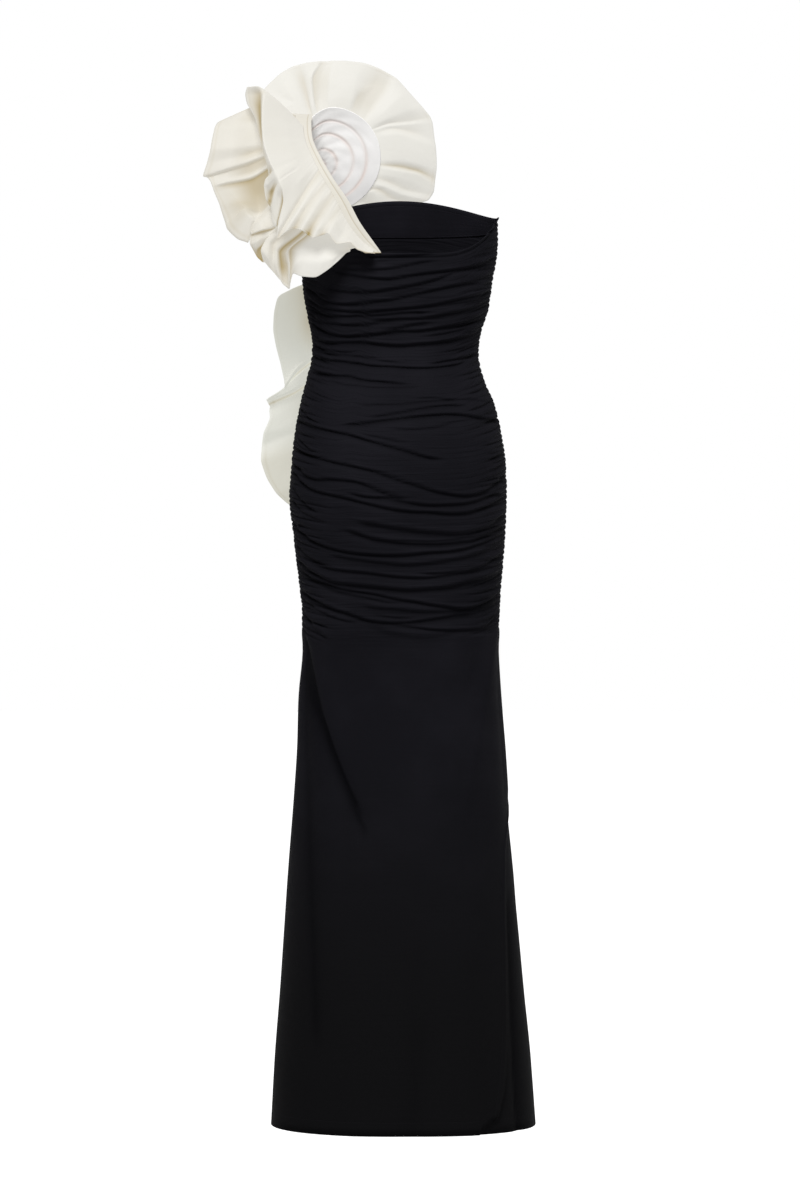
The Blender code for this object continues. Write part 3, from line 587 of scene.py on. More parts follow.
def cloth(name, points, finish, thickness, closed=False, marks=None):
    """A sheet of cloth through a grid of points, with a place on the cloth for its finish to follow.

    Marks are named values, one for each point, for what is sewn or drawn on the cloth.
    """
    rows, columns = points.shape[:2]
    sheet = bmesh.new()
    bmesh.ops.create_grid(sheet, x_segments=columns - 1, y_segments=rows - 1, size=1)
    over = np.cumsum(np.linalg.norm(np.diff(points, axis=1), axis=2).mean(axis=0))
    down = np.cumsum(np.linalg.norm(np.diff(points, axis=0), axis=2).mean(axis=1))
    over, down = np.append(0, over), np.append(0, down)
    place = sheet.loops.layers.uv.new("cloth")
    layers = {key: sheet.verts.layers.float.new(key) for key in marks or {}}
    order = {}
    for vert in sheet.verts:
        i = round((vert.co.y + 1) / 2 * (rows - 1))
        j = round((vert.co.x + 1) / 2 * (columns - 1))
        order[vert.index] = (i, j)
        vert.co = points[i, j]
        for key, layer in layers.items():
            vert[layer] = marks[key][i, j]
    for face in sheet.faces:
        for loop in face.loops:
            i, j = order[loop.vert.index]
            loop[place].uv = (over[j], down[i])
        face.smooth = True
    if closed:
        bmesh.ops.remove_doubles(sheet, verts=sheet.verts, dist=1e-6)
    piece = bpy.data.objects.new(name, bpy.data.meshes.new(name))
    sheet.to_mesh(piece.data)
    sheet.free()
    piece.data.materials.append(finish)
    bpy.context.scene.collection.objects.link(piece)
    wall = piece.modifiers.new("thickness", "SOLIDIFY")
    wall.thickness = thickness
    wall.offset = 0
    return piece


# A row of stitches is this far from its middle to its side
ROW_HALF = 0.45 * MM


def jersey_finish(name, lit, plain, low, crinkled):
    """Matte black jersey: fine ribs of knit, faint crinkles in the gathers, hardly any shine.

    The colours are tones matched to the photo, with painted shade: darker low down, where less light
    reaches, and darker still in its folds.
    """
    finish = Finish(name, Roughness=0.8, Specular_IOR_Level=0.03)
    place = finish.cloth_place()
    across_cloth, down_cloth = finish.part(place, 0), finish.part(place, 1)
    ribs = (across_cloth * (2 * math.pi / (0.9 * MM))).wave()
    stitches = (down_cloth * (2 * math.pi / (0.7 * MM))).wave()
    crinkle = finish.noise(finish.stretched(place, (11, 170, 1)), 1.0, 4.0)
    gathered = finish.height().between(GATHERS_END - 30 * MM, GATHERS_END + 40 * MM)
    crinkle = crinkle * (gathered * crinkled + 0.25 * MM)
    cloud = finish.noise(place, 9.0, 3.0)
    along_row = (across_cloth * (2 * math.pi / (3.2 * MM))).wave().between(-0.5, 0)
    down_row = (down_cloth * (2 * math.pi / (3.2 * MM))).wave().between(-0.5, 0)
    sewn = along_row * (finish.row("from_top_row", ROW_HALF) + finish.row("from_hem_row", ROW_HALF))
    sewn = sewn + down_row * finish.row("from_edge_row", ROW_HALF)
    sunk = finish.row("from_top_row", 3 * ROW_HALF) + finish.row("from_hem_row", 3 * ROW_HALF)
    relief = ribs * (0.03 * MM) + stitches * (0.02 * MM) + crinkle + sewn * (0.3 * MM) - sunk * (0.25 * MM)
    uneven_tone = finish.colour(cloud.between(0.35, 0.7), plain, lit)
    # Painted shade: the tone turns to the low one further down the skirt, where less light falls
    low_painted_shade = finish.height().between(-1.0, -0.5)
    uneven_tone = finish.node("Mix", {"data_type": "RGBA"}, low_painted_shade, (*low, 1), uneven_tone)
    uneven_tone = finish.node("Mix", {"data_type": "RGBA"}, sewn * 0.5, uneven_tone, (0.018, 0.0178, 0.021, 1))
    # Painted shade: near black where the cloth lies deep in its folds, from a value stored on its points
    painted_shade = finish.mark("painted_shade")
    tone = finish.node("Mix", {"data_type": "RGBA"}, painted_shade, uneven_tone, (0.0015, 0.0015, 0.0022, 1))
    return finish.use(Base_Color=tone, Normal=finish.relief(relief, 1.0))


# Its third tone is the painted shade low on the skirt
black_jersey = jersey_finish(
    "black_jersey_cloth",
    (0.0094, 0.0091, 0.0121),
    (0.0073, 0.0071, 0.0095),
    (0.0062, 0.0061, 0.0068),
    1.6 * MM,
)

# How far the back's free edge stands from the side below the slit's top: height, angle round the section
SLIT_EDGE = (
    (-668, 0),
    (-680, 8),
    (-692, 15),
    (-710, 21),
    (-760, 27),
    (-900, 34),
    (-1002, 39),
    (-1085, 45),
    (-1130, 48),
)
# The rows of stitches that hold the hem and the free edge's turning
HEM_ROW, EDGE_ROW = 20 * MM, 12 * MM


def slit_turn(z):
    """The angle from the side seam to the back's free edge."""
    return np.radians(read_rows(SLIT_EDGE, z / MM)[..., 0]) * (z < SLIT_TOP)


def make_back_panel():
    share = np.unique(np.concatenate((np.linspace(0, 1, 89), np.linspace(0.95, 1, 14))))
    columns = len(share)
    share = share - 0.06 * np.sin(2 * math.pi * share)
    flat = -math.pi * (1 - share)
    under_strap = 8 * np.exp(-(((across(flat) + 0.44) / 0.1) ** 2))
    top = (140 + 61 * np.abs(across(flat)) ** 5 + under_strap) * MM
    z = panel_heights(top, columns, 430, 56)
    turn = slit_turn(z[:, -1:])
    angle = flat - turn * fade(0.6, 1, share)
    corner = np.clip((share - 0.75) / 0.25, 0, 1) ** 3
    z = z + 26 * MM * corner * (1 - fade(HEM, -1060 * MM, z))
    u = across(angle)
    gathered = fade(GATHERS_END - 10 * MM, GATHERS_END + 15 * MM, z)
    out = SKIRT_OUT + (GATHERED_OUT - SKIRT_OUT) * gathered
    x = sheath_point(angle, z, 0)[..., 0]
    folds = drawn_folds(back_folds(), x, z, (-132 * MM, 132 * MM))
    short = seam_gathers(u, z, 40 * MM) * gathered
    free = 1 - beside_seam(u, z)
    folds, skirt = folds * free, skirt_folds(BACK_SKIRT_FOLDS, x, z) * free
    out = out - folds - short - skirt
    below = top - z
    stitched = np.exp(-(((below - 6 * MM) / (1.5 * MM)) ** 2))
    out = out + 1.3 * MM * np.exp(-((below / (3.5 * MM)) ** 4)) - 0.8 * MM * stitched
    free_edge = np.exp(-(((share - 0.984) / 0.009) ** 2)) * (z < SLIT_TOP)
    out = out + 1.4 * MM * free_edge
    points = sheath_point(angle, z, out)
    points[..., 1] -= 0.02 * MM
    # Painted shade, stored on the points: deeper in the folds and along the stitched row under the top edge
    painted_shade = 0.8 * np.clip((folds + short + skirt) / FOLD_DEPTH + 0.8 * stitched, 0, 1) ** 2
    marks = {"painted_shade": painted_shade, "from_top_row": below - 6 * MM, "from_hem_row": z - z[-1] - HEM_ROW}
    from_edge = np.linalg.norm(points - points[:, -1:], axis=2) - EDGE_ROW
    marks["from_edge_row"] = np.where(z[:, -1:] < SLIT_TOP, from_edge, 1.0)
    return cloth("back_panel_cloth", points, black_jersey, 0.8 * MM, marks=marks)


back_panel = make_back_panel()
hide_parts("back_panel")
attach(back_panel, "root")


# FRONT PANEL
# One piece of the same jersey, gathered into the same seams. Below the slit it carries on behind the
# back panel's free edge, so that the slit stays covered.

FRONT_SKIRT_FOLDS = (
    ([(138, -400), (120, -480), (88, -590), (60, -720)], 4, 14, 4.5),
    ([(-138, -400), (-120, -470), (-84, -600), (-60, -760)], 12, 5, 4.0),
    ([(20, -520), (5, -700), (-8, -900)], 12, 20, -2.5),
    ([(-20, -780), (-35, -1130)], 28, 20, 3.5),
    ([(75, -850), (85, -1130)], 26, 18, -3.5),
    ([(-120, -820), (-130, -1130)], 24, 14, 3.5),
    ([(160, -790), (163, -875), (166, -965), (170, -1060), (174, -1130)], 6, 8, 4.5),
)
FRONT_TOP = 235


def front_folds():
    """Folds as even as a gathered seam gives, each a little unlike the last and some of them short."""
    rng = np.random.RandomState(11)
    folds = []
    for k in range(44):
        t = (k + 0.8) / 44
        side, middle = 201 - 561 * t, FRONT_TOP - 633 * t
        left, right = side + rng.uniform(-9, 9), side + rng.uniform(-9, 9)
        lowest = middle + rng.uniform(-5, 5)
        x = np.linspace(-150, 150, 9)
        start, end = sorted(rng.randint(0, 9, 2))
        start, end = (0, 8) if end - start < 4 else (start, end)
        z = lowest + (np.where(x < 0, left, right) - lowest) * (x / 150) ** 2
        folds.append((rng.uniform(0.4, 1.0), rng.uniform(0.8, 1.4), list(zip(x, z))[start : end + 1]))
    return folds


def make_front_panel():
    columns = 89
    share = np.linspace(0, 1, columns)
    share = share - 0.06 * np.sin(2 * math.pi * share)
    flat = math.pi * (1 - share)
    top = (FRONT_TOP - 34 * np.abs(across(flat)) ** 2) * MM
    z = panel_heights(top, columns, 490, 56)
    below_slit = z[:, -1:] < SLIT_TOP
    turn = (slit_turn(z[:, -1:]) + np.radians(12)) * below_slit
    angle = flat - turn * fade(0.6, 1, share)
    u = across(angle)
    gathered = fade(GATHERS_END - 10 * MM, GATHERS_END + 15 * MM, z)
    lined = fade(92 * MM, 132 * MM, z) * (1 - np.abs(u) ** 6)
    beside_facing = 1.75 * MM * fade(118 * MM, 140 * MM, z) * (1 - fade(178 * MM, 182 * MM, z))
    beside_facing = beside_facing * (1 - np.abs(u) ** 6)
    out = SKIRT_OUT + (GATHERED_OUT - 1.8 * MM * lined - SKIRT_OUT) * gathered - beside_facing
    x = sheath_point(angle, z, 0)[..., 0]
    folds = drawn_folds(front_folds(), x, z, (-132 * MM, 132 * MM)) * gathered * (1 - 0.96 * lined)
    short = seam_gathers(u, z, 30 * MM) * gathered * (1 - lined)
    free = 1 - beside_seam(u, z)
    folds, skirt = folds * free, skirt_folds(FRONT_SKIRT_FOLDS, x, z) * free
    out = out - folds - short - skirt
    out = out - 4.2 * MM * fade(-610 * MM, -668 * MM, z) * (1 - fade(0, math.radians(25), angle))
    points = sheath_point(angle, z, out)
    points[..., 1] += 0.02 * MM
    # Painted shade, stored on the points: deeper in the folds
    painted_shade = 0.8 * np.clip((folds + short + skirt) / FOLD_DEPTH, 0, 1) ** 2
    marks = {"painted_shade": painted_shade, "from_top_row": top - z - 6 * MM, "from_hem_row": z - z[-1] - HEM_ROW}
    marks["from_edge_row"] = np.full_like(z, 1.0)
    return cloth("front_panel_cloth", points, black_jersey, 0.8 * MM, marks=marks)


front_panel = make_front_panel()
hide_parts("front_panel")
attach(front_panel, "root")


# FRONT FACING
# The band of the same jersey inside the front's top edge, about five centimetres deep in the middle.
# Its lower edge is level and shows through the neck as a seam.


# Painted light: the same jersey in lighter tones, so that the inside of the front reads as lit
facing_jersey_painted_light = jersey_finish(
    "facing_jersey_painted_light_cloth",
    (0.0130, 0.0125, 0.0170),
    (0.0092, 0.0089, 0.0120),
    (0.0092, 0.0089, 0.0120),
    0.4 * MM,
)


def make_front_facing():
    share = np.linspace(0.025, 0.975, 81)
    angle = math.pi * (1 - share)
    top = (FRONT_TOP - 34 * np.abs(across(angle)) ** 2 - 1.2) * MM
    down = np.linspace(0, 1, 24)[:, None]
    z = top + (180 * MM - top) * down
    points = sheath_point(angle, z, -0.9 * MM)
    points[..., 1] += 0.15 * MM
    marks = {"from_top_row": top - z - 6 * MM, "from_hem_row": z - 183 * MM + 0 * top}
    marks["from_edge_row"] = np.full_like(z, 1.0)
    return cloth("front_facing_cloth", points, facing_jersey_painted_light, 0.7 * MM, marks=marks)


front_facing = make_front_facing()
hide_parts("front_facing")
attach(front_facing, "root")


# SHOULDER STRAP
# A band of stiff ivory taffeta from the back's top edge over the wearer's left shoulder to the rosette.
# A narrow smooth binding runs along its neck edge.

# Stations from the back's top edge over the shoulder to the rosette: neck edge x, y, z, arm edge x, y, z
STRAP = (
    (-27, -103, 140, -50, -100, 140),
    (-30, -103, 145, -66, -96, 148),
    (-40, -102, 159, -102, -85, 160),
    (-58, -99, 185, -127, -84, 187),
    (-75, -94, 217, -141, -82, 218),
    (-97, -84, 250, -152, -74, 251),
    (-115, -66, 282, -163, -60, 283),
    (-127, -44, 310, -172, -42, 311),
    (-130, -18, 336, -177, -18, 337),
    (-129, 8, 351, -178, 8, 352),
    (-130, 45, 357, -172, 45, 359),
    (-131, 80, 355, -166, 78, 351),
)


def taffeta_finish(name, lit, deep, painted_shade, through=(1.0, 0.98, 0.915)):
    """Stiff ivory taffeta: a close plain weave, faint slubs across it, a dull sheen and painted golden shade
    in folds.

    Painted light: the whole cloth glows a little, so that its shaded sides stay warm and light, standing in
    for light through the thin cloth and soft fill. The glow was matched to the photo.
    """
    finish = Finish(
        name,
        Roughness=0.6,
        Specular_IOR_Level=0.25,
        Emission_Strength=0.5,
    )
    place = finish.cloth_place()
    warp = (finish.part(place, 0) * (2 * math.pi / (0.6 * MM))).wave()
    weft = (finish.part(place, 1) * (2 * math.pi / (0.6 * MM))).wave()
    slubs = finish.noise(finish.stretched(place, (900, 40, 1)), 1.0, 2.0)
    crease = finish.noise(place, 55.0, 4.0)
    height = warp * weft * (0.02 * MM) + slubs * (0.05 * MM) + crease * (0.9 * MM)
    cloud = finish.noise(place, 14.0, 2.0)
    plain = finish.colour(cloud.between(0.3, 0.75), lit, deep)
    # Painted shade: tan where the cloth lies deep in its folds, from a value stored on its points
    shade = finish.mark("painted_shade").sum("POWER", 2.0)
    tone = finish.node("Mix", {"data_type": "RGBA"}, shade, plain, (*painted_shade, 1))
    # Painted light: the glow is warm white, and golden in the folds
    glow = finish.colour(shade, through, (0.52, 0.37, 0.09))
    return finish.use(Base_Color=tone, Emission_Color=glow, Normal=finish.relief(height, 1.0))


# Its third tone is the painted shade of the folds
ivory_taffeta = taffeta_finish(
    "ivory_taffeta_cloth", (0.275, 0.27, 0.254), (0.262, 0.257, 0.236), (0.095, 0.065, 0.016)
)


def beside_sheath(x, z, front, clearance):
    """The depth y of a point that clears the sheath's gathers by this much, at x and z."""
    middle, half, front_depth, back_depth = np.moveaxis(read_rows(SECTIONS, z / MM) * MM, -1, 0)
    grown = 3.4 * MM + clearance
    u = np.clip(np.abs(x - middle) / (half + grown), 0, 0.999)
    v = (1 - u**SECTION_POWER) ** (1 / SECTION_POWER)
    return (front_depth + grown) * v if front else -(back_depth + grown) * v


ROSETTE_X, ROSETTE_Y, ROSETTE_Z = -121 * MM, 99 * MM, 291 * MM
# The dish's rim, in millimetres: its mean radius, how far it leans out towards 30 degrees, how oval it is,
# and how far it is drawn in beside the strap, which lies at 106 degrees
RIM_RADIUS, RIM_LEAN, RIM_OVAL, RIM_DRAWN_IN = 83, 7, 5, 14
LEAN_AT, STRAP_AT = math.radians(30), math.radians(106)


def rim_radius(angle):
    turned = angle - LEAN_AT
    beside_strap = RIM_DRAWN_IN * np.exp(20 * (np.cos(angle - STRAP_AT) - 1))
    return (RIM_RADIUS + RIM_LEAN * np.cos(turned) + RIM_OVAL * np.cos(2 * turned) - beside_strap) * MM


def dish_depth(x, z, level):
    """The depth y of the rosette's dish, carried forward by a level, clear of the front panel."""
    dx, dz = x - ROSETTE_X, z - ROSETTE_Z
    share = np.hypot(dx, dz) / rim_radius(np.arctan2(dz, dx))
    y = ROSETTE_Y + 0.12 * dx + 20 * MM * (1 - np.minimum(share, 1.0) ** 2)
    clear = beside_sheath(x, z, True, 1.2 * MM)
    return np.where(z < 241 * MM, np.maximum(y, clear), y) + level


def strap_place(station, share):
    """A point of the strap, at a station along it and a share across it from the neck edge."""
    rows = read_rows([(i, *row) for i, row in enumerate(STRAP)], station) * MM
    share = np.asarray(share, float)[..., None]
    points = rows[..., :3] * (1 - share) + rows[..., 3:] * share
    clear = beside_sheath(points[..., 0], points[..., 2], False, 1.35 * MM)
    low = points[..., 2] < 172 * MM
    points[..., 1] = np.where(low, np.minimum(points[..., 1], clear), points[..., 1])
    against_dish = dish_depth(points[..., 0], points[..., 2], -1.4 * MM)
    near_dish = fade(len(STRAP) - 1.6, len(STRAP) - 1, np.asarray(station, float))
    points[..., 1] += (against_dish - points[..., 1]) * near_dish
    return points


def strap_outwards(station, share):
    along = strap_place(station + 0.05, share) - strap_place(station - 0.05, share)
    over = strap_place(station, share + 0.05) - strap_place(station, share - 0.05)
    normal = np.cross(along, over)
    return normal / np.linalg.norm(normal, axis=-1, keepdims=True)


def make_shoulder_strap():
    station, share = np.meshgrid(np.linspace(0, len(STRAP) - 1, 140), np.linspace(0, 1, 40), indexing="ij")
    points = strap_place(station, share)
    inner = np.clip(station, 0.1, len(STRAP) - 1.1)
    binding = 0.9 * MM * (1 - fade(0.09, 0.13, share)) - 0.5 * MM * np.exp(-(((share - 0.13) / 0.02) ** 2))
    points = points + strap_outwards(inner, share) * binding[..., None]
    # Painted shade over the whole strap, more along the binding's stitched row and most at its end on the
    # back
    stitched = 0.3 * np.exp(-(((share - 0.13) / 0.012) ** 2))
    shaded = {"painted_shade": np.maximum(stitched + 0.4, 0.8 * (1 - fade(0.1, 0.5, station)))}
    return cloth("shoulder_strap_cloth", points, ivory_taffeta, 1.0 * MM, marks=shaded)


shoulder_strap = make_shoulder_strap()
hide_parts("shoulder_strap")
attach(shoulder_strap, "root")


# ROSETTE DISH
# A shallow dish of the same taffeta on the front of the left shoulder, lined in soft white cloth. The
# ring ruffles on its far side are stitched through, so their seams show in the lining as puckered rings.


STITCH_RINGS = (0.09, 0.28, 0.55, 0.77)


def lining_finish():
    """White lining cloth, soft and matt, with tan thread in the rings that hold the ruffles.

    Painted light and shade: lighter towards the top and greyer low down, tones that were matched to the
    photo.
    """
    finish = Finish("white_lining_cloth", Roughness=0.85, Specular_IOR_Level=0.2)
    place = finish.cloth_place()
    thread = finish.mark("thread")
    cloud = finish.noise(place, 30.0, 3.0)
    nap = finish.noise(place, 700.0, 2.0)
    # Painted light and shade by height: lighter high in the dish, greyer low down, with some random cloud
    painted_light_by_height = finish.height().between(215 * MM, 365 * MM) - cloud.between(0.3, 0.7) * 0.12
    plain = finish.colour(painted_light_by_height, (0.51, 0.505, 0.505), (0.92, 0.912, 0.908))
    tone = finish.node("Mix", {"data_type": "RGBA"}, thread, plain, (0.55, 0.42, 0.37, 1))
    return finish.use(Base_Color=tone, Normal=finish.relief(nap * (0.1 * MM) + cloud * (0.8 * MM), 1.0))


def make_dish(name, level, rings, finish, thickness, drawn, marks=None):
    angles = np.linspace(0, 2 * math.pi, 181)
    shares = np.linspace(0, 1, rings)[:, None]
    radius = rim_radius(angles) * shares
    x = ROSETTE_X + radius * np.cos(angles)
    z = ROSETTE_Z + radius * np.sin(angles)
    y = dish_depth(x, z, level) + drawn(shares, angles)
    marks = {key: mark(shares, angles) for key, mark in (marks or {}).items()}
    return cloth(name, np.stack((x, y, z), axis=-1), finish, thickness, closed=True, marks=marks)


def ring_puckers(share, angle):
    """The lining is drawn forwards along each ring, with small puckers."""
    drawn = 0.4 * MM * np.sin(angle * 11 + share * 9) * np.sin(share * 17) * fade(0, 0.3, share)
    drawn = drawn * (1 - fade(0.85, 1, share))
    for number, ring in enumerate(STITCH_RINGS):
        puckers = 1 + 0.5 * np.sin(angle * (30 + 22 * number) + number)
        drawn = drawn + np.exp(-(((share - ring) / 0.02) ** 2)) * 0.6 * MM * puckers
    return drawn


def ring_thread(share, angle):
    uneven_tone = 0.75 + 0.25 * np.sin(angle * 3 + share * 20)
    shown = np.zeros(np.broadcast(share, angle).shape)
    for ring in STITCH_RINGS:
        shown = np.maximum(shown, np.exp(-(((share - ring) / 0.032) ** 2)) * uneven_tone)
    return 0.5 * shown


rosette_lining = make_dish(
    "rosette_lining_cloth", 0.0, 120, lining_finish(), 0.8 * MM, ring_puckers, {"thread": ring_thread}
)
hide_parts("rosette_lining")
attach(rosette_lining, "root")

rosette_base = make_dish(
    "rosette_base_cloth", 1.5 * MM, 60, ivory_taffeta, 1.0 * MM, lambda share, angle: 0 * share * angle
)
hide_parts("rosette_base")
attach(rosette_base, "root")


# COLLAR RUFFLE
# A wide ruffle of taffeta sewn round the dish's edge, which stands up behind the shoulder and neck.
# Where it shows it has a few box pleats and long soft hollows, and in front it falls in even waves.

# Each fold's line: the angle of its seam, then three places out to the free edge, each with
# the photo's column and row, how far it lies from the viewer, and how deep in shade
COLLAR_FOLDS = (
    (128, (291, 104, 0, 0), (280, 97, 0, 0), (266, 88, 0, 0)),
    (119, (296, 104, -3, 0), (287, 90, -4, 0), (279, 75, -3, 0)),
    (107, (302, 104, -2, 0), (295, 86, -3, 0.05), (287, 70, -2, 0.05)),
    (101, (306.5, 104, 4, 0.4), (301, 84, 5, 0.5), (293, 66.5, 2, 0.1)),
    (98, (309, 104, 5, 0.6), (304.5, 84, 6, 0.6), (298, 65, 3, 0.2)),
    (95, (311, 103, -4, 0), (309.5, 84, -4, 0), (306, 62.7, -2, 0)),
    (92.5, (313, 102, -4, 0), (311.3, 80, -4, 0.05), (319, 61.2, -2, 0.1)),
    (91, (315, 102, 3, 0.55), (313.3, 80, 3, 0.6), (323, 61.2, 2, 0.35)),
    (86, (320, 100, 4, 0.35), (320, 80, 4, 0.45), (328, 60.8, 1, 0.2)),
    (80, (326, 99, 1, 0.3), (327, 80, 0, 0.35), (332, 60.5, -1, 0.15)),
    (77, (330, 98, -3, 0), (330.5, 80, -3, 0), (335, 60.5, -2, 0)),
    (68, (340, 96, -4, 0), (341, 79, -4, 0), (346, 60.6, -2, 0)),
    (61, (352, 97, -4, 0), (355, 82, -5, 0), (361, 61.5, 0, 0)),
    (57, (357, 98, 4, 0.55), (365, 85, 4, 0.4), (370, 64, 0, 0.1)),
    (50, (364, 100, 8, 0.5), (374, 84, 8, 0.5), (380, 67.5, 1, 0.35)),
    (44, (372, 105, 7, 0.45), (384, 87, 7, 0.45), (390, 73, 1, 0.3)),
    (41, (378, 108, -1, 0.1), (391, 89, 0, 0.1), (397, 78, -1, 0.1)),
    (38.5, (386, 110, -5, 0), (400, 96, -6, 0), (408, 90, -3, 0)),
    (36.5, (390, 117, -5, 0), (408, 109, -6, 0), (422, 105, -3, 0)),
    (34.5, (392, 122, 4, 0.35), (411, 119, 5, 0.3), (430, 114.5, 2, 0.3)),
    (33, (391, 125, -2, 0), (410, 123, -3, 0), (433, 121, 0, 0)),
    (30, (393, 128, 3, 0.35), (410, 130, 4, 0.35), (435, 138, 0, 0)),
    (26, (396, 134, -4, 0), (414, 138, -4, 0), (436, 146, -1, 0)),
    (14, (400, 148, -5, 0), (418, 151, -5, 0), (437, 158, -2, 0)),
    (4, (399, 160, -5, 0), (417, 163, -6, 0), (436.5, 168, -3, 0.05)),
    (0, (398, 165.5, 5, 0.85), (416, 168.5, 6, 0.9), (435.5, 177, 3, 0.5)),
    (-3, (396, 170, -5, 0.1), (414, 173, -6, 0.2), (435, 184, -2, 0.3)),
    (-8, (393, 176, -3, 0), (411, 181, -3, 0), (434, 190, 0, 0.1)),
    (-13, (388, 181, 4, 0.45), (405, 188, 4, 0.35), (432, 194, 1, 0.2)),
    (-19, (384, 186, -5, 0), (400, 193, -5, 0), (428, 199, -3, 0.2)),
    (-26, (378, 189, 4, 0.6), (390, 196, 3, 0.5), (414, 203, 2, 0.2)),
    (-33, (371, 192, -5, 0.1), (380, 199, -4, 0), (400, 208, -3, 0.1)),
)


def calmer(folds, first, kept):
    """Folds with less relief between neighbours: from this fold on, only a share of it is kept.

    Each fold is its seam's place and then its line's places, whose third value is the relief.
    """
    folds = [[seam, *[list(place) for place in places]] for seam, *places in folds]
    for j in range(1, len(folds[0])):
        relief = np.array([fold[j][2] for fold in folds], float)
        smooth = np.convolve(np.pad(relief, 2, mode="edge"), (0.1, 0.25, 0.3, 0.25, 0.1), mode="valid")
        for i in range(first, len(folds)):
            folds[i][j][2] = smooth[i] + kept * (relief[i] - smooth[i])
    return folds


def collar_places():
    """The collar's folds in millimetres, with the relief and the shade that they are built with."""
    folds = []
    for seam, *places in calmer(COLLAR_FOLDS, 0, 0.42):
        line = []
        for depth, (column, row, lift, shade) in zip((110, 110, 116), places):
            x, _, z = from_photo(column, row, depth)
            line.append((x, z, round(lift, 2), round(0.78 * shade, 2)))
        folds.append((seam, *line))
    return folds


def between_folds(rows, spans, crisp):
    """Rows of fold values with those between them added: straight between crisp folds, rounded in soft."""
    rows = np.array(rows, float)
    at = np.linspace(0, len(rows) - 1, (len(rows) - 1) * spans + 1)
    soft = read_rows([(i, *row) for i, row in enumerate(rows)], at)
    straight = np.stack([np.interp(at, range(len(rows)), column) for column in rows.T], axis=-1)
    return straight * crisp + soft * (1 - crisp)


# Where the places of a fold's line lie between the seam, at 0, and the free edge, at 1
COLLAR_SHARES = (0, 0.38, 0.7, 1)
STRAP_SHARES = (0, 0.35, 0.6, 0.8, 1)


def fold_grid(lines, shares, rows, spans, crisp):
    """A grid of values through the lines of folds, each a row of places from the seam to the free edge."""
    lines = np.array(lines, float)
    folds, _, values = lines.shape
    table = [(share, *lines[:, k].ravel()) for k, share in enumerate(shares)]
    down = read_rows(table, np.linspace(0, 1, rows), held=True).reshape(rows, folds, values)
    across_folds = between_folds(down.transpose(1, 0, 2).reshape(folds, -1), spans, crisp)
    return across_folds.reshape(-1, rows, values).transpose(1, 0, 2)


def fold_tint(shade):
    """Painted shade for how deep the cloth lies in its folds, with a thin darker line where the free edge's
    hem is stitched.
    """
    shade = np.clip(shade, 0, 1)
    shade[-3] = np.clip(shade[-3] + 0.1, 0, 1)
    return shade


def eased(points, passes, closed=False):
    """The folds' creases rounded a little, along each row of points."""
    for _ in range(passes):
        if closed:
            ring = points[:, :-1]
            ring = ring / 2 + (np.roll(ring, 1, axis=1) + np.roll(ring, -1, axis=1)) / 4
            points = np.concatenate((ring, ring[:, :1]), axis=1)
        else:
            inner = points[:, 1:-1] / 2 + (points[:, :-2] + points[:, 2:]) / 4
            points = np.concatenate((points[:, :1], inner, points[:, -1:]), axis=1)
    return points


def collar_lines():
    """The folds that show, then even waves in front of the body, then the first fold again."""
    lines = [(seam, [places[0], *places]) for seam, *places in collar_places()]
    for k in range(16):
        t = k / 15
        turned = math.radians(-40 - 172 * t)
        lift = 6 if k % 2 == 0 else -6
        places = []
        for radius in (100, 128 - 12 * t, 164 - 34 * t):
            place = (ROSETTE_X / MM + radius * math.cos(turned), ROSETTE_Z / MM + radius * math.sin(turned))
            places.append((*place, lift, 0.05 * lift))
        lines.append((math.degrees(turned), [places[0], *places]))
    lines.append((lines[0][0] - 360, lines[0][1]))
    grid = []
    for seam, places in lines:
        turned = math.radians(seam)
        radius = rim_radius(turned) * 0.93 / MM
        start = (ROSETTE_X / MM + radius * math.cos(turned), ROSETTE_Z / MM + radius * math.sin(turned), 0)
        grid.append([(*start, 0.5 * places[0][3]), *places[1:]])
    return grid


def make_collar_ruffle():
    grid = fold_grid(collar_lines(), COLLAR_SHARES, 48, 9, 0.7)
    s = np.linspace(0, 1, 48)[:, None]
    x, z = grid[..., 0] * MM, grid[..., 1] * MM
    y = dish_depth(x, z, 3.25 * MM) + 14 * MM * s**2 + grid[..., 2] * MM
    clear = beside_sheath(x, z, True, 4 * MM)
    y = np.where(z < 245 * MM, np.maximum(y, clear), y)
    points = eased(np.stack((x, y, z), axis=-1), 2, closed=True)
    tint = {"painted_shade": fold_tint(grid[..., 3])}
    return cloth("collar_ruffle_cloth", points, ivory_taffeta, 0.9 * MM, closed=True, marks=tint)


collar_ruffle = make_collar_ruffle()
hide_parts("collar_ruffle")
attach(collar_ruffle, "root")
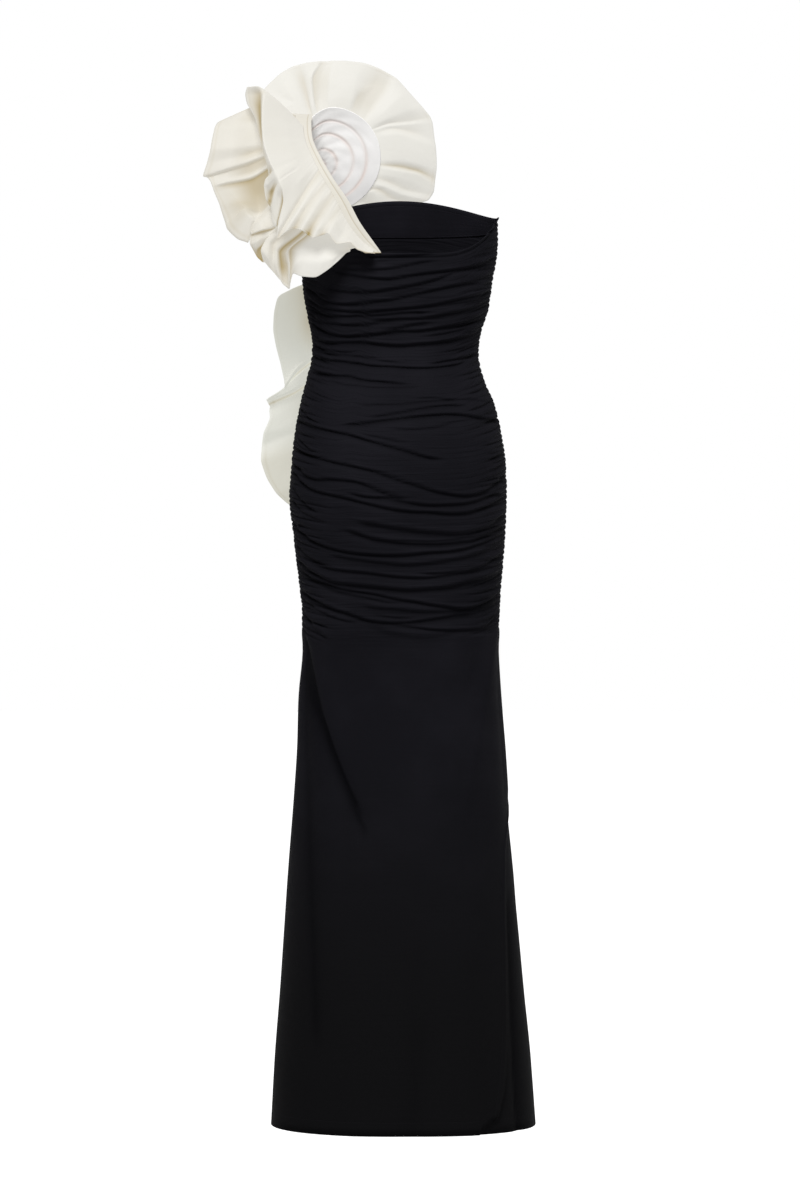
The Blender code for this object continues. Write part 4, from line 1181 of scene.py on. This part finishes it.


# UPPER STRAP RUFFLE
# The ruffle nearest the viewer, sewn along the strap's neck edge. Its upper part is one smooth petal
# with a rolled edge, and below that it falls in a fan of narrow pleats with a zigzag edge.

# Each fold's line: the strap station of its seam, then four places out to the free edge,
# each with the photo's column and row, its depth y and how deep it lies in shade
PETAL_FOLDS = (
    (7.75, (290, 112, -42, 0), (272, 96, -58, 0), (258, 86, -62, 0), (247, 87, -46, 0.1)),
    (7.6, (289, 117, -48, 0), (264.5, 94, -72, 0), (260, 93, -58, 0.7), (245.5, 94, -42, 0.05)),
    (7.42, (288, 122, -56, 0), (263, 106, -84, 0), (260.5, 106, -68, 0.9), (247, 104, -48, 0.05)),
    (7.22, (289, 129, -64, 0), (262.5, 121, -96, 0), (260.5, 121, -80, 0.9), (255, 117, -64, 0.3)),
    (7, (289, 137, -72, 0), (263, 136, -106, 0), (261.5, 136, -92, 0.8), (259, 132, -80, 0.5)),
    (6.8, (291, 145, -80, 0), (264.5, 147, -114, 0), (263, 147, -106, 0.5), (262, 146, -96, 0.5)),
    (6.55, (295, 156, -88, 0), (270, 162, -122, 0), (268.5, 163, -114, 0.3), (267, 165, -102, 0.5)),
    (6.42, (297, 159, -90, 0), (273.5, 169, -125, 0), (271, 172, -104, 0.75), (269, 175, -92, 0.3)),
    (6.36, (298, 160, -90, 0), (275, 172, -126, 0), (268, 178, -104, 0.2), (265.5, 179, -98, 0)),
    (6.3, (298, 161, -91, 0), (276, 174, -127, 0), (268, 184, -106, 0), (264, 185, -100, 0.05)),
    (6.26, (299, 162, -91, 0), (277, 176, -128, 0), (269.5, 188, -98, 0.3), (264.5, 191, -100, 0)),
    (6.22, (299, 163, -91, 0), (277.5, 178, -128, 0), (271, 190, -92, 0.85), (266, 199, -98, 0.1)),
    (6.17, (300, 164, -92, 0), (278, 179, -129, 0), (273, 192, -92, 0.85), (268, 203, -94, 0.82)),
    (6.12, (300, 165, -92, 0), (278.5, 180, -129, 0), (275.5, 186, -118, 0.82), (270, 206, -104, 0.75)),
    (6.09, (300, 166, -92, 0), (279, 181, -130, 0), (276.5, 187, -122, 0.1), (271.5, 208, -112, 0)),
    (6, (301, 168, -94, 0), (280, 183, -131, 0), (276.8, 196, -122, 0), (272, 221, -114, 0)),
    (5.95, (301, 169, -95, 0), (280.5, 185, -131, 0), (280.6, 198, -120, 0), (275, 227, -114, 0.05)),
    (5.92, (302, 170, -96, 0), (281, 186, -131, 0), (282.3, 199, -114, 0.8), (276.8, 226, -110, 0.8)),
    (5.82, (302, 172, -98, 0), (282, 188, -132, 0), (283.2, 200, -116, 0.8), (277.9, 223, -112, 0.8)),
    (5.76, (302, 174, -100, 0), (283, 190, -132, 0), (283.8, 200, -130, 0), (278.6, 221, -126, 0)),
    (5.6, (302, 178, -102, 0.05), (286.5, 196, -127, 0), (283, 206, -131, 0), (278.5, 222, -132, 0.1)),
)

# Each pleat of the fan: the station of its seam, the photo's column and row at its free edge, then the
# depth y and the shade at four places along it
FAN_FOLDS = (
    (5.45, (277.5, 230), (-104, 0), (-124, 0), (-132, 0), (-137, 0)),
    (5.3, (277, 240), (-102, 0.35), (-118, 0.35), (-126, 0.3), (-134, 0.4)),
    (5, (286, 231), (-114, 0), (-134, 0), (-141, 0), (-144, 0.1)),
    (4.78, (294, 229), (-104, 0.3), (-118, 0.35), (-124, 0.4), (-126, 0.5)),
    (4.5, (301, 230), (-116, 0), (-136, 0), (-143, 0), (-146, 0.1)),
    (4.25, (308, 235), (-106, 0.35), (-120, 0.4), (-126, 0.5), (-128, 0.8)),
    (3.95, (313, 238), (-117, 0), (-136, 0), (-143, 0), (-146, 0.1)),
    (3.68, (322, 235), (-108, 0.3), (-120, 0.25), (-126, 0.3), (-128, 0.5)),
    (3.4, (328, 233), (-116, 0), (-134, 0), (-141, 0), (-144, 0.15)),
    (3, (335, 244), (-114, 0.15), (-128, 0.2), (-136, 0.15), (-140, 0.3)),
    (2.6, (343, 243), (-116, 0), (-128, 0), (-132, 0.05), (-134, 0.25)),
    (2.2, (350, 242), (-112, 0.1), (-120, 0.1), (-126, 0.1), (-130, 0.3)),
    (1.7, (357, 249), (-114, 0), (-122, 0), (-126, 0.1), (-130, 0.4)),
    (1.2, (366, 252), (-112, 0.1), (-118, 0.2), (-122, 0.3), (-126, 0.5)),
    (0.7, (375, 253), (-110, 0.1), (-114, 0.2), (-117, 0.3), (-118, 0.5)),
)

# The photo's pixels down the upper ruffle's seam, at the strap's stations 0 to 8
FAN_SEAM = (
    (372, 257), (369, 253), (361, 243), (348, 225), (336, 203),
    (322, 179), (311, 157), (303, 140), (301, 124),
)
FAN_SHARES = (0.35, 0.6, 0.8, 1)


def fan_pleat(station, edge, *places):
    """A pleat's line, nearly straight in the photo from its seam to its edge, for its depths and shades."""
    seam_column, seam_row = (np.interp(station, range(9), line) for line in zip(*FAN_SEAM))
    line = []
    for share, (y, shade) in zip(FAN_SHARES, places):
        sag = 1.6 * share * (1 - share) * 4 * (1 if station > 3.2 else 0.3)
        column = seam_column + (edge[0] - seam_column) * share - 0.5 * sag
        row = seam_row + (edge[1] - seam_row) * share - sag
        if share == 1:
            column, row = edge
        line.append((column, row, y, min(1.0, 1.35 * shade)))
    return [station, *line]


def petal_places():
    """The upper ruffle's folds in millimetres, the petal's first and then the fan's."""
    folds = calmer([*PETAL_FOLDS, *[fan_pleat(*fold) for fold in FAN_FOLDS]], len(PETAL_FOLDS) + 1, 0.4)
    crease = [fold for fold in folds if 5.5 < fold[0] < 6.6]
    stations = np.array([fold[0] for fold in crease])
    for j in (1, 2):
        smooth = [np.polyval(np.polyfit(stations, [f[j][k] for f in crease], 3), stations) for k in range(3)]
        for i, fold in enumerate(crease):
            fold[j][:3] = [values[i] for values in smooth]
    made = []
    for station, *places in folds:
        digits = 1 if 5.5 < station < 6.6 else 0
        # Every place takes at least a little painted shade
        line = [(*from_photo(*place[:3], digits), round(max(place[3], 0.26), 2)) for place in places]
        made.append((station, *line))
    return made


def make_strap_ruffle(name, folds, seam_share, crisp, spans):
    stations = np.array([fold[0] for fold in folds], float)
    share = np.full(len(stations), seam_share)
    seam = strap_place(stations, share) + strap_outwards(stations, share) * 1.9 * MM
    lines = [[(*start, places[0][3]), *places] for start, (_, *places) in zip(seam / MM, folds)]
    grid = fold_grid(lines, STRAP_SHARES, 48, spans, crisp)
    points = eased(grid[..., :3] * MM, 2)
    along = np.interp(np.linspace(0, 1, points.shape[1]), np.linspace(0, 1, len(stations)), stations)
    outwards = strap_outwards(along, np.full(len(along), seam_share))
    near_seam = 1 - fade(0.02, 0.4, np.linspace(0, 1, 48)[:, None])
    near_seam = near_seam * (1 - fade(5.4, 6.1, along))
    small = 0.25 * MM * near_seam * (np.sin(along * 29) + np.sin(along * 43 + 1) + np.sin(along * 17 + 2))
    points = points + small[..., None] * outwards
    return cloth(name, points, ivory_taffeta, 0.9 * MM, marks={"painted_shade": fold_tint(grid[..., 3])})


upper_ruffle = make_strap_ruffle("strap_ruffle_upper_cloth", petal_places(), 0.26, 0.75, 8)
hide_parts("strap_ruffle_upper")
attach(upper_ruffle, "root")


# LOWER STRAP RUFFLE
# A second ruffle under the first, sewn along the middle of the strap. It spreads over the arm in deep
# lobes, and ends in small folded lobes on the back's top edge.

# Each fold's line, given in the same way, with three places out to the free edge
LOBE_FOLDS = (
    (8.8, (262, 106, -20, 0.6), (254, 106, -24, 0.6), (247, 109, -26, 0.4)),
    (8.45, (254, 113, -30, 0.5), (240, 114, -34, 0.25), (228, 117, -34, 0.15)),
    (8.2, (250, 119, -40, 0.5), (234, 119, -44, 0.35), (218, 122, -40, 0.25)),
    (8, (250, 125, -48, 0.35), (232, 126, -54, 0.15), (215, 127, -52, 0.05)),
    (7.7, (248, 137, -56, 0.4), (230, 138, -60, 0.2), (212, 140, -58, 0.1)),
    (7.4, (248, 146, -60, 0.3), (230, 148, -68, 0), (210, 150, -64, 0)),
    (7.1, (250, 153, -54, 0.6), (230, 158, -64, 0.1), (207, 163, -62, 0.1)),
    (6.92, (250, 160, -64, 0.4), (227, 168, -72, 0.3), (203, 176, -64, 0.3)),
    (6.86, (251, 164, -56, 0.66), (229, 170.5, -63, 0.5), (207, 177, -59, 0.4)),
    (6.7, (250, 172, -58, 0.6), (226, 178, -66, 0.15), (210, 181, -66, 0)),
    (6.6, (250, 177, -63, 0.35), (224, 182.5, -73, 0.1), (212, 186, -70, 0)),
    (6.56, (251, 180, -57, 0.86), (225, 185, -69, 0.66), (212.5, 188, -70, 0)),
    (6.45, (252, 184, -58, 0.8), (229, 190, -70, 0.45), (214, 192, -70, 0)),
    (6.2, (257, 194, -58, 0.78), (235, 197, -72, 0.5), (219, 203, -72, 0.1)),
    (5.95, (259, 204, -62, 0.7), (241, 203, -76, 0.66), (222, 212, -72, 0.2)),
    (5.75, (260, 211, -66, 0.62), (246, 207, -80, 0.62), (225, 222, -74, 0.25)),
    (5.66, (258, 214, -68, 0.45), (244, 209, -86, 0.55), (227, 228.5, -80, 0.4)),
    (5.5, (258, 216, -74, 0.3), (247, 213, -88, 0.5), (231, 233, -82, 0.4)),
    (5.25, (258, 217, -80, 0.15), (250, 217, -90, 0.3), (238, 239, -86, 0.36)),
    (5.08, (258, 218, -84, 0.2), (252, 221, -90, 0.36), (246, 242, -88, 0.4)),
    (5.02, (260, 216, -81, 0.45), (254, 222, -86, 0.43), (248, 243, -86, 0.43)),
    (4.9, (267, 216, -90, 0.36), (259, 224, -96, 0.36), (250, 232, -94, 0.4)),
    (4.78, (272, 227, -96, 0.4), (262, 229.5, -104, 0.4), (251, 233.5, -98, 0.45)),
    (4.74, (272, 228.5, -88, 0.85), (262, 231, -94, 0.85), (251, 235, -93, 0.7)),
    (4.62, (270, 232, -92, 0.3), (259, 236, -96, 0.5), (249, 239, -94, 0.1)),
    (4.5, (268, 236, -94, 0.1), (257, 241, -100, 0), (250, 244, -96, 0.1)),
    (4.42, (266, 240, -92, 0.5), (256, 247, -96, 0.2), (252, 248, -92, 0.6)),
    (4.36, (266, 243, -84, 0.85), (257, 250, -84, 0.85), (257, 257.5, -84, 0.85)),
    (4.28, (267, 246, -84, 0.85), (262, 253, -84, 0.88), (263, 262, -84, 0.88)),
    (4.24, (265, 240, -102, 0), (261, 250, -108, 0), (265, 262, -98, 0.1)),
    (4.05, (269, 243, -104, 0), (268, 256, -110, 0), (270, 268, -102, 0.1)),
    (3.9, (273, 246, -94, 0.5), (273, 261, -98, 0.35), (276, 275, -96, 0.3)),
    (3.78, (277, 251, -102, 0), (277, 264, -106, 0), (280, 280, -102, 0.1)),
    (3.72, (280, 253, -92, 0.9), (281, 266, -92, 0.9), (283, 284, -98, 0.25)),
    (3.6, (285, 254, -94, 0.6), (287, 268, -94, 0.7), (287, 288, -98, 0.2)),
    (3.54, (287, 253, -106, 0), (289, 267, -108, 0.05), (289, 289, -100, 0.1)),
    (3.46, (290, 251, -96, 0.8), (291, 267, -98, 0.7), (290, 284, -98, 0.5)),
    (3.2, (300, 253, -108, 0), (296, 262, -110, 0.2), (293, 273, -100, 0.4)),
    (2.9, (314, 250, -112, 0), (307, 262, -120, 0), (301, 276, -118, 0)),
    (2.6, (326, 250, -116, 0.1), (321, 263, -126, 0), (316, 277, -124, 0)),
    (2.2, (337, 248, -114, 0.1), (333, 259, -124, 0), (328, 270, -124, 0)),
    (1.9, (343, 247, -108, 0.2), (341, 253, -116, 0.25), (339, 260, -120, 0.1)),
    (1.6, (348, 247, -104, 0.3), (347, 250, -110, 0.35), (346, 253, -112, 0.3)),
    (1.35, (351, 249, -102, 0.3), (350, 250, -106, 0.3), (350, 251, -107, 0.3)),
)

# The strap's middle at its stations 0 to 9: the photo's pixels, and the depth
STRAP_MIDDLE = (
    (356, 257, -92), (354, 252, -93), (347, 240, -93), (336, 221, -92), (325, 200, -88),
    (314, 178, -79), (305, 156, -63), (298, 140, -43), (296, 124, -18), (297, 114, 8),
)


def lobe_places():
    """The lower ruffle's folds in millimetres, each with a first place between the strap and its line."""
    made = []
    for station, *places in calmer(LOBE_FOLDS, 0, 0.7):
        # Each place takes at least this much painted shade, less on the small lobes at the back
        least = 0.36 if station > 3.3 else 0.1
        middle = np.array([np.interp(station, range(10), line) for line in zip(*STRAP_MIDDLE)])
        first = middle + (np.array(places[0][:3]) - middle) * 0.58
        first[2] -= 3
        line = [(*first, places[0][3]), *places]
        made.append((station, *[(*from_photo(*p[:3]), max(p[3], least)) for p in line]))
    return made


lower_ruffle = make_strap_ruffle("strap_ruffle_lower_cloth", lobe_places(), 0.5, 0.8, 7)
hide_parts("strap_ruffle_lower")
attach(lower_ruffle, "root")


# ROSETTE RINGS
# Four ring ruffles on the dish's far side, each inside the next, with waved free edges. They hide the
# dish from the front and make the rosette.

# Ring: reach, rise forwards, waves, depth of the waves, and its cut in square metres
ROSETTE_RINGS = (
    (22, 34, 5, 3, 0.0052),
    (34, 32, 8, 5, 0.0135),
    (38, 28, 11, 6, 0.0225),
    (40, 24, 14, 6, 0.029),
)
RING_SEAMS = (0.09, 0.27, 0.54, 0.77)

for number, (reach, rise, waves, deep, cut) in enumerate(ROSETTE_RINGS, 1):
    angles = np.linspace(0, 2 * math.pi, waves * 16 + 1)
    s = np.linspace(0, 1, 24)[:, None]
    shape = np.sin(waves * angles + number) + 0.35 * np.sin((waves * 2 - 1) * angles + 2 * number)
    wave = shape * deep * MM
    slant = math.hypot(reach, rise)
    seam_radius = RING_SEAMS[number - 1] * rim_radius(angles)
    radius = seam_radius + reach * MM * s - wave * s * rise / slant
    seam_x = ROSETTE_X + seam_radius * np.cos(angles)
    seam_z = ROSETTE_Z + seam_radius * np.sin(angles)
    seam_y = dish_depth(seam_x, seam_z, (2.5 + 0.75 * reach / slant) * MM)
    y = seam_y + rise * MM * s**0.8 + wave * s * reach / slant
    x = ROSETTE_X + radius * np.cos(angles)
    z = ROSETTE_Z + radius * np.sin(angles)
    points = np.stack(np.broadcast_arrays(x, y, z), axis=-1)
    ring = cloth(f"rosette_ring_{number}_cloth", points, ivory_taffeta, 0.9 * MM, closed=True)
    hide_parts(f"rosette_ring_{number}")
    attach(ring, "root")
    length = 2 * math.pi * (seam_radius.mean() + reach * MM)


# CASCADE RUFFLE
# A long ruffle that hangs down the front from under the rosette, seen past the dress's left side. Its
# seam runs down the front panel, and its free edge falls in folds of uneven length.

# The same taffeta with painted light: lighter tones and a stronger glow, matched to how the cascade looks in
# the photo
cascade_painted_light_taffeta = taffeta_finish(
    "cascade_painted_light_taffeta_cloth",
    (0.25, 0.245, 0.236),
    (0.238, 0.234, 0.221),
    (0.11, 0.095, 0.052),
    (1.11, 1.12, 1.01),
)

# Each fold's line: the photo's column and row at its seam, then three places out to the
# free edge, each with its column and row, its depth y and how deep it lies in shade
CASCADE_FOLDS = (
    ((332, 262), (316, 279, 100, 0.6), (307, 283, 100, 0.5), (298, 286, 95, 0.3)),
    ((331, 274), (313, 290, 96, 0.7), (296, 289, 80, 0.45), (278, 296, 66, 0.15)),
    ((330, 287), (311, 306, 94, 0.6), (292, 308, 76, 0.35), (274, 312, 60, 0.15)),
    ((330, 302), (310, 322, 92, 0.65), (291, 326, 72, 0.25), (273, 330, 52, 0.15)),
    ((330, 316), (311, 337, 90, 0.5), (294, 341, 72, 0.2), (276, 346, 56, 0.1)),
    ((331, 331), (313, 347, 88, 0.35), (298, 353, 72, 0.05), (280, 362, 60, 0)),
    ((332, 341), (315, 353, 85, 0.15), (301, 362, 68, 0), (284, 380, 58, 0)),
    ((332, 345), (315, 356, 81, 0.05), (299, 366, 62, 0), (284.5, 385, 50, 0.05)),
    ((332.5, 348), (315, 358, 84, 0.1), (299.5, 368.5, 64, 0.1), (285, 388, 52, 0.1)),
    ((333, 350), (315, 360, 92, 0.6), (300, 371, 76, 0.6), (283, 391, 66, 0.6)),
    ((333, 352), (315.5, 362, 85, 0.1), (299, 374, 64, 0.1), (278, 394, 50, 0.05)),
    ((333, 359), (316, 367, 82, 0), (298, 380, 62, 0), (270, 397, 46, 0)),
    ((333, 366), (316, 374, 81, 0), (297, 387, 61, 0), (266, 400, 46, 0.05)),
    ((333, 369), (316, 377, 84, 0.1), (297, 389, 64, 0.1), (267, 401.5, 48, 0.1)),
    ((333, 371), (316, 379, 92, 0.6), (298, 391, 76, 0.6), (269, 404, 62, 0.6)),
    ((333, 373), (316, 381, 88, 0.3), (297, 393, 70, 0.25), (270, 406, 60, 0.2)),
    ((333, 382), (316, 391, 88, 0.3), (295, 400, 71, 0.2), (269, 410, 59, 0.1)),
    ((333, 392), (315, 404, 88, 0.35), (293, 411, 70, 0.2), (270, 418, 56, 0.1)),
    ((333, 407), (313, 419, 88, 0.25), (290, 426, 68, 0.1), (264, 432, 52, 0.05)),
    ((333, 420), (313, 430, 90, 0.25), (290, 435, 72, 0.2), (262, 446, 57, 0.1)),
    ((333, 436), (312, 448, 90, 0.15), (288, 454, 68, 0), (261, 461, 50, 0)),
    ((334, 451), (312, 465, 92, 0.15), (289, 471, 70, 0), (267, 479, 53, 0)),
    ((334, 466), (314, 480, 94, 0.15), (295, 486, 75, 0), (277, 494, 60, 0)),
    ((334, 478), (318, 490, 98, 0.15), (303, 497, 87, 0.05), (289, 505, 78, 0.1)),
    ((335, 487), (324, 497, 102, 0.2), (315, 503, 104, 0.1), (305, 509, 108, 0.1)),
)


def cascade_places():
    """The cascade's folds in millimetres. Its foot has more painted shade."""
    made = []
    for seam, *places in CASCADE_FOLDS:
        x, _, z = from_photo(*seam, 85)
        least = 0.4 if seam[1] > 425 else 0
        made.append(((x, z), *[(*from_photo(*p[:3]), max(p[3], least)) for p in places]))
    return made


def make_cascade_ruffle():
    lines = []
    for (seam_x, seam_z), *places in cascade_places():
        seam_y = beside_sheath(seam_x * MM, seam_z * MM, True, 1.2 * MM) / MM
        lines.append([(seam_x, seam_y, seam_z, places[0][3]), *places])
    grid = fold_grid(lines, (0, 0.4, 0.7, 1), 44, 9, 0.7)
    points = eased(grid[..., :3] * MM, 2)
    tint = {"painted_shade": fold_tint(grid[..., 3])}
    return cloth("cascade_ruffle_cloth", points, cascade_painted_light_taffeta, 0.9 * MM, marks=tint)


cascade_ruffle = make_cascade_ruffle()
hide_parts("cascade_ruffle")
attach(cascade_ruffle, "root")
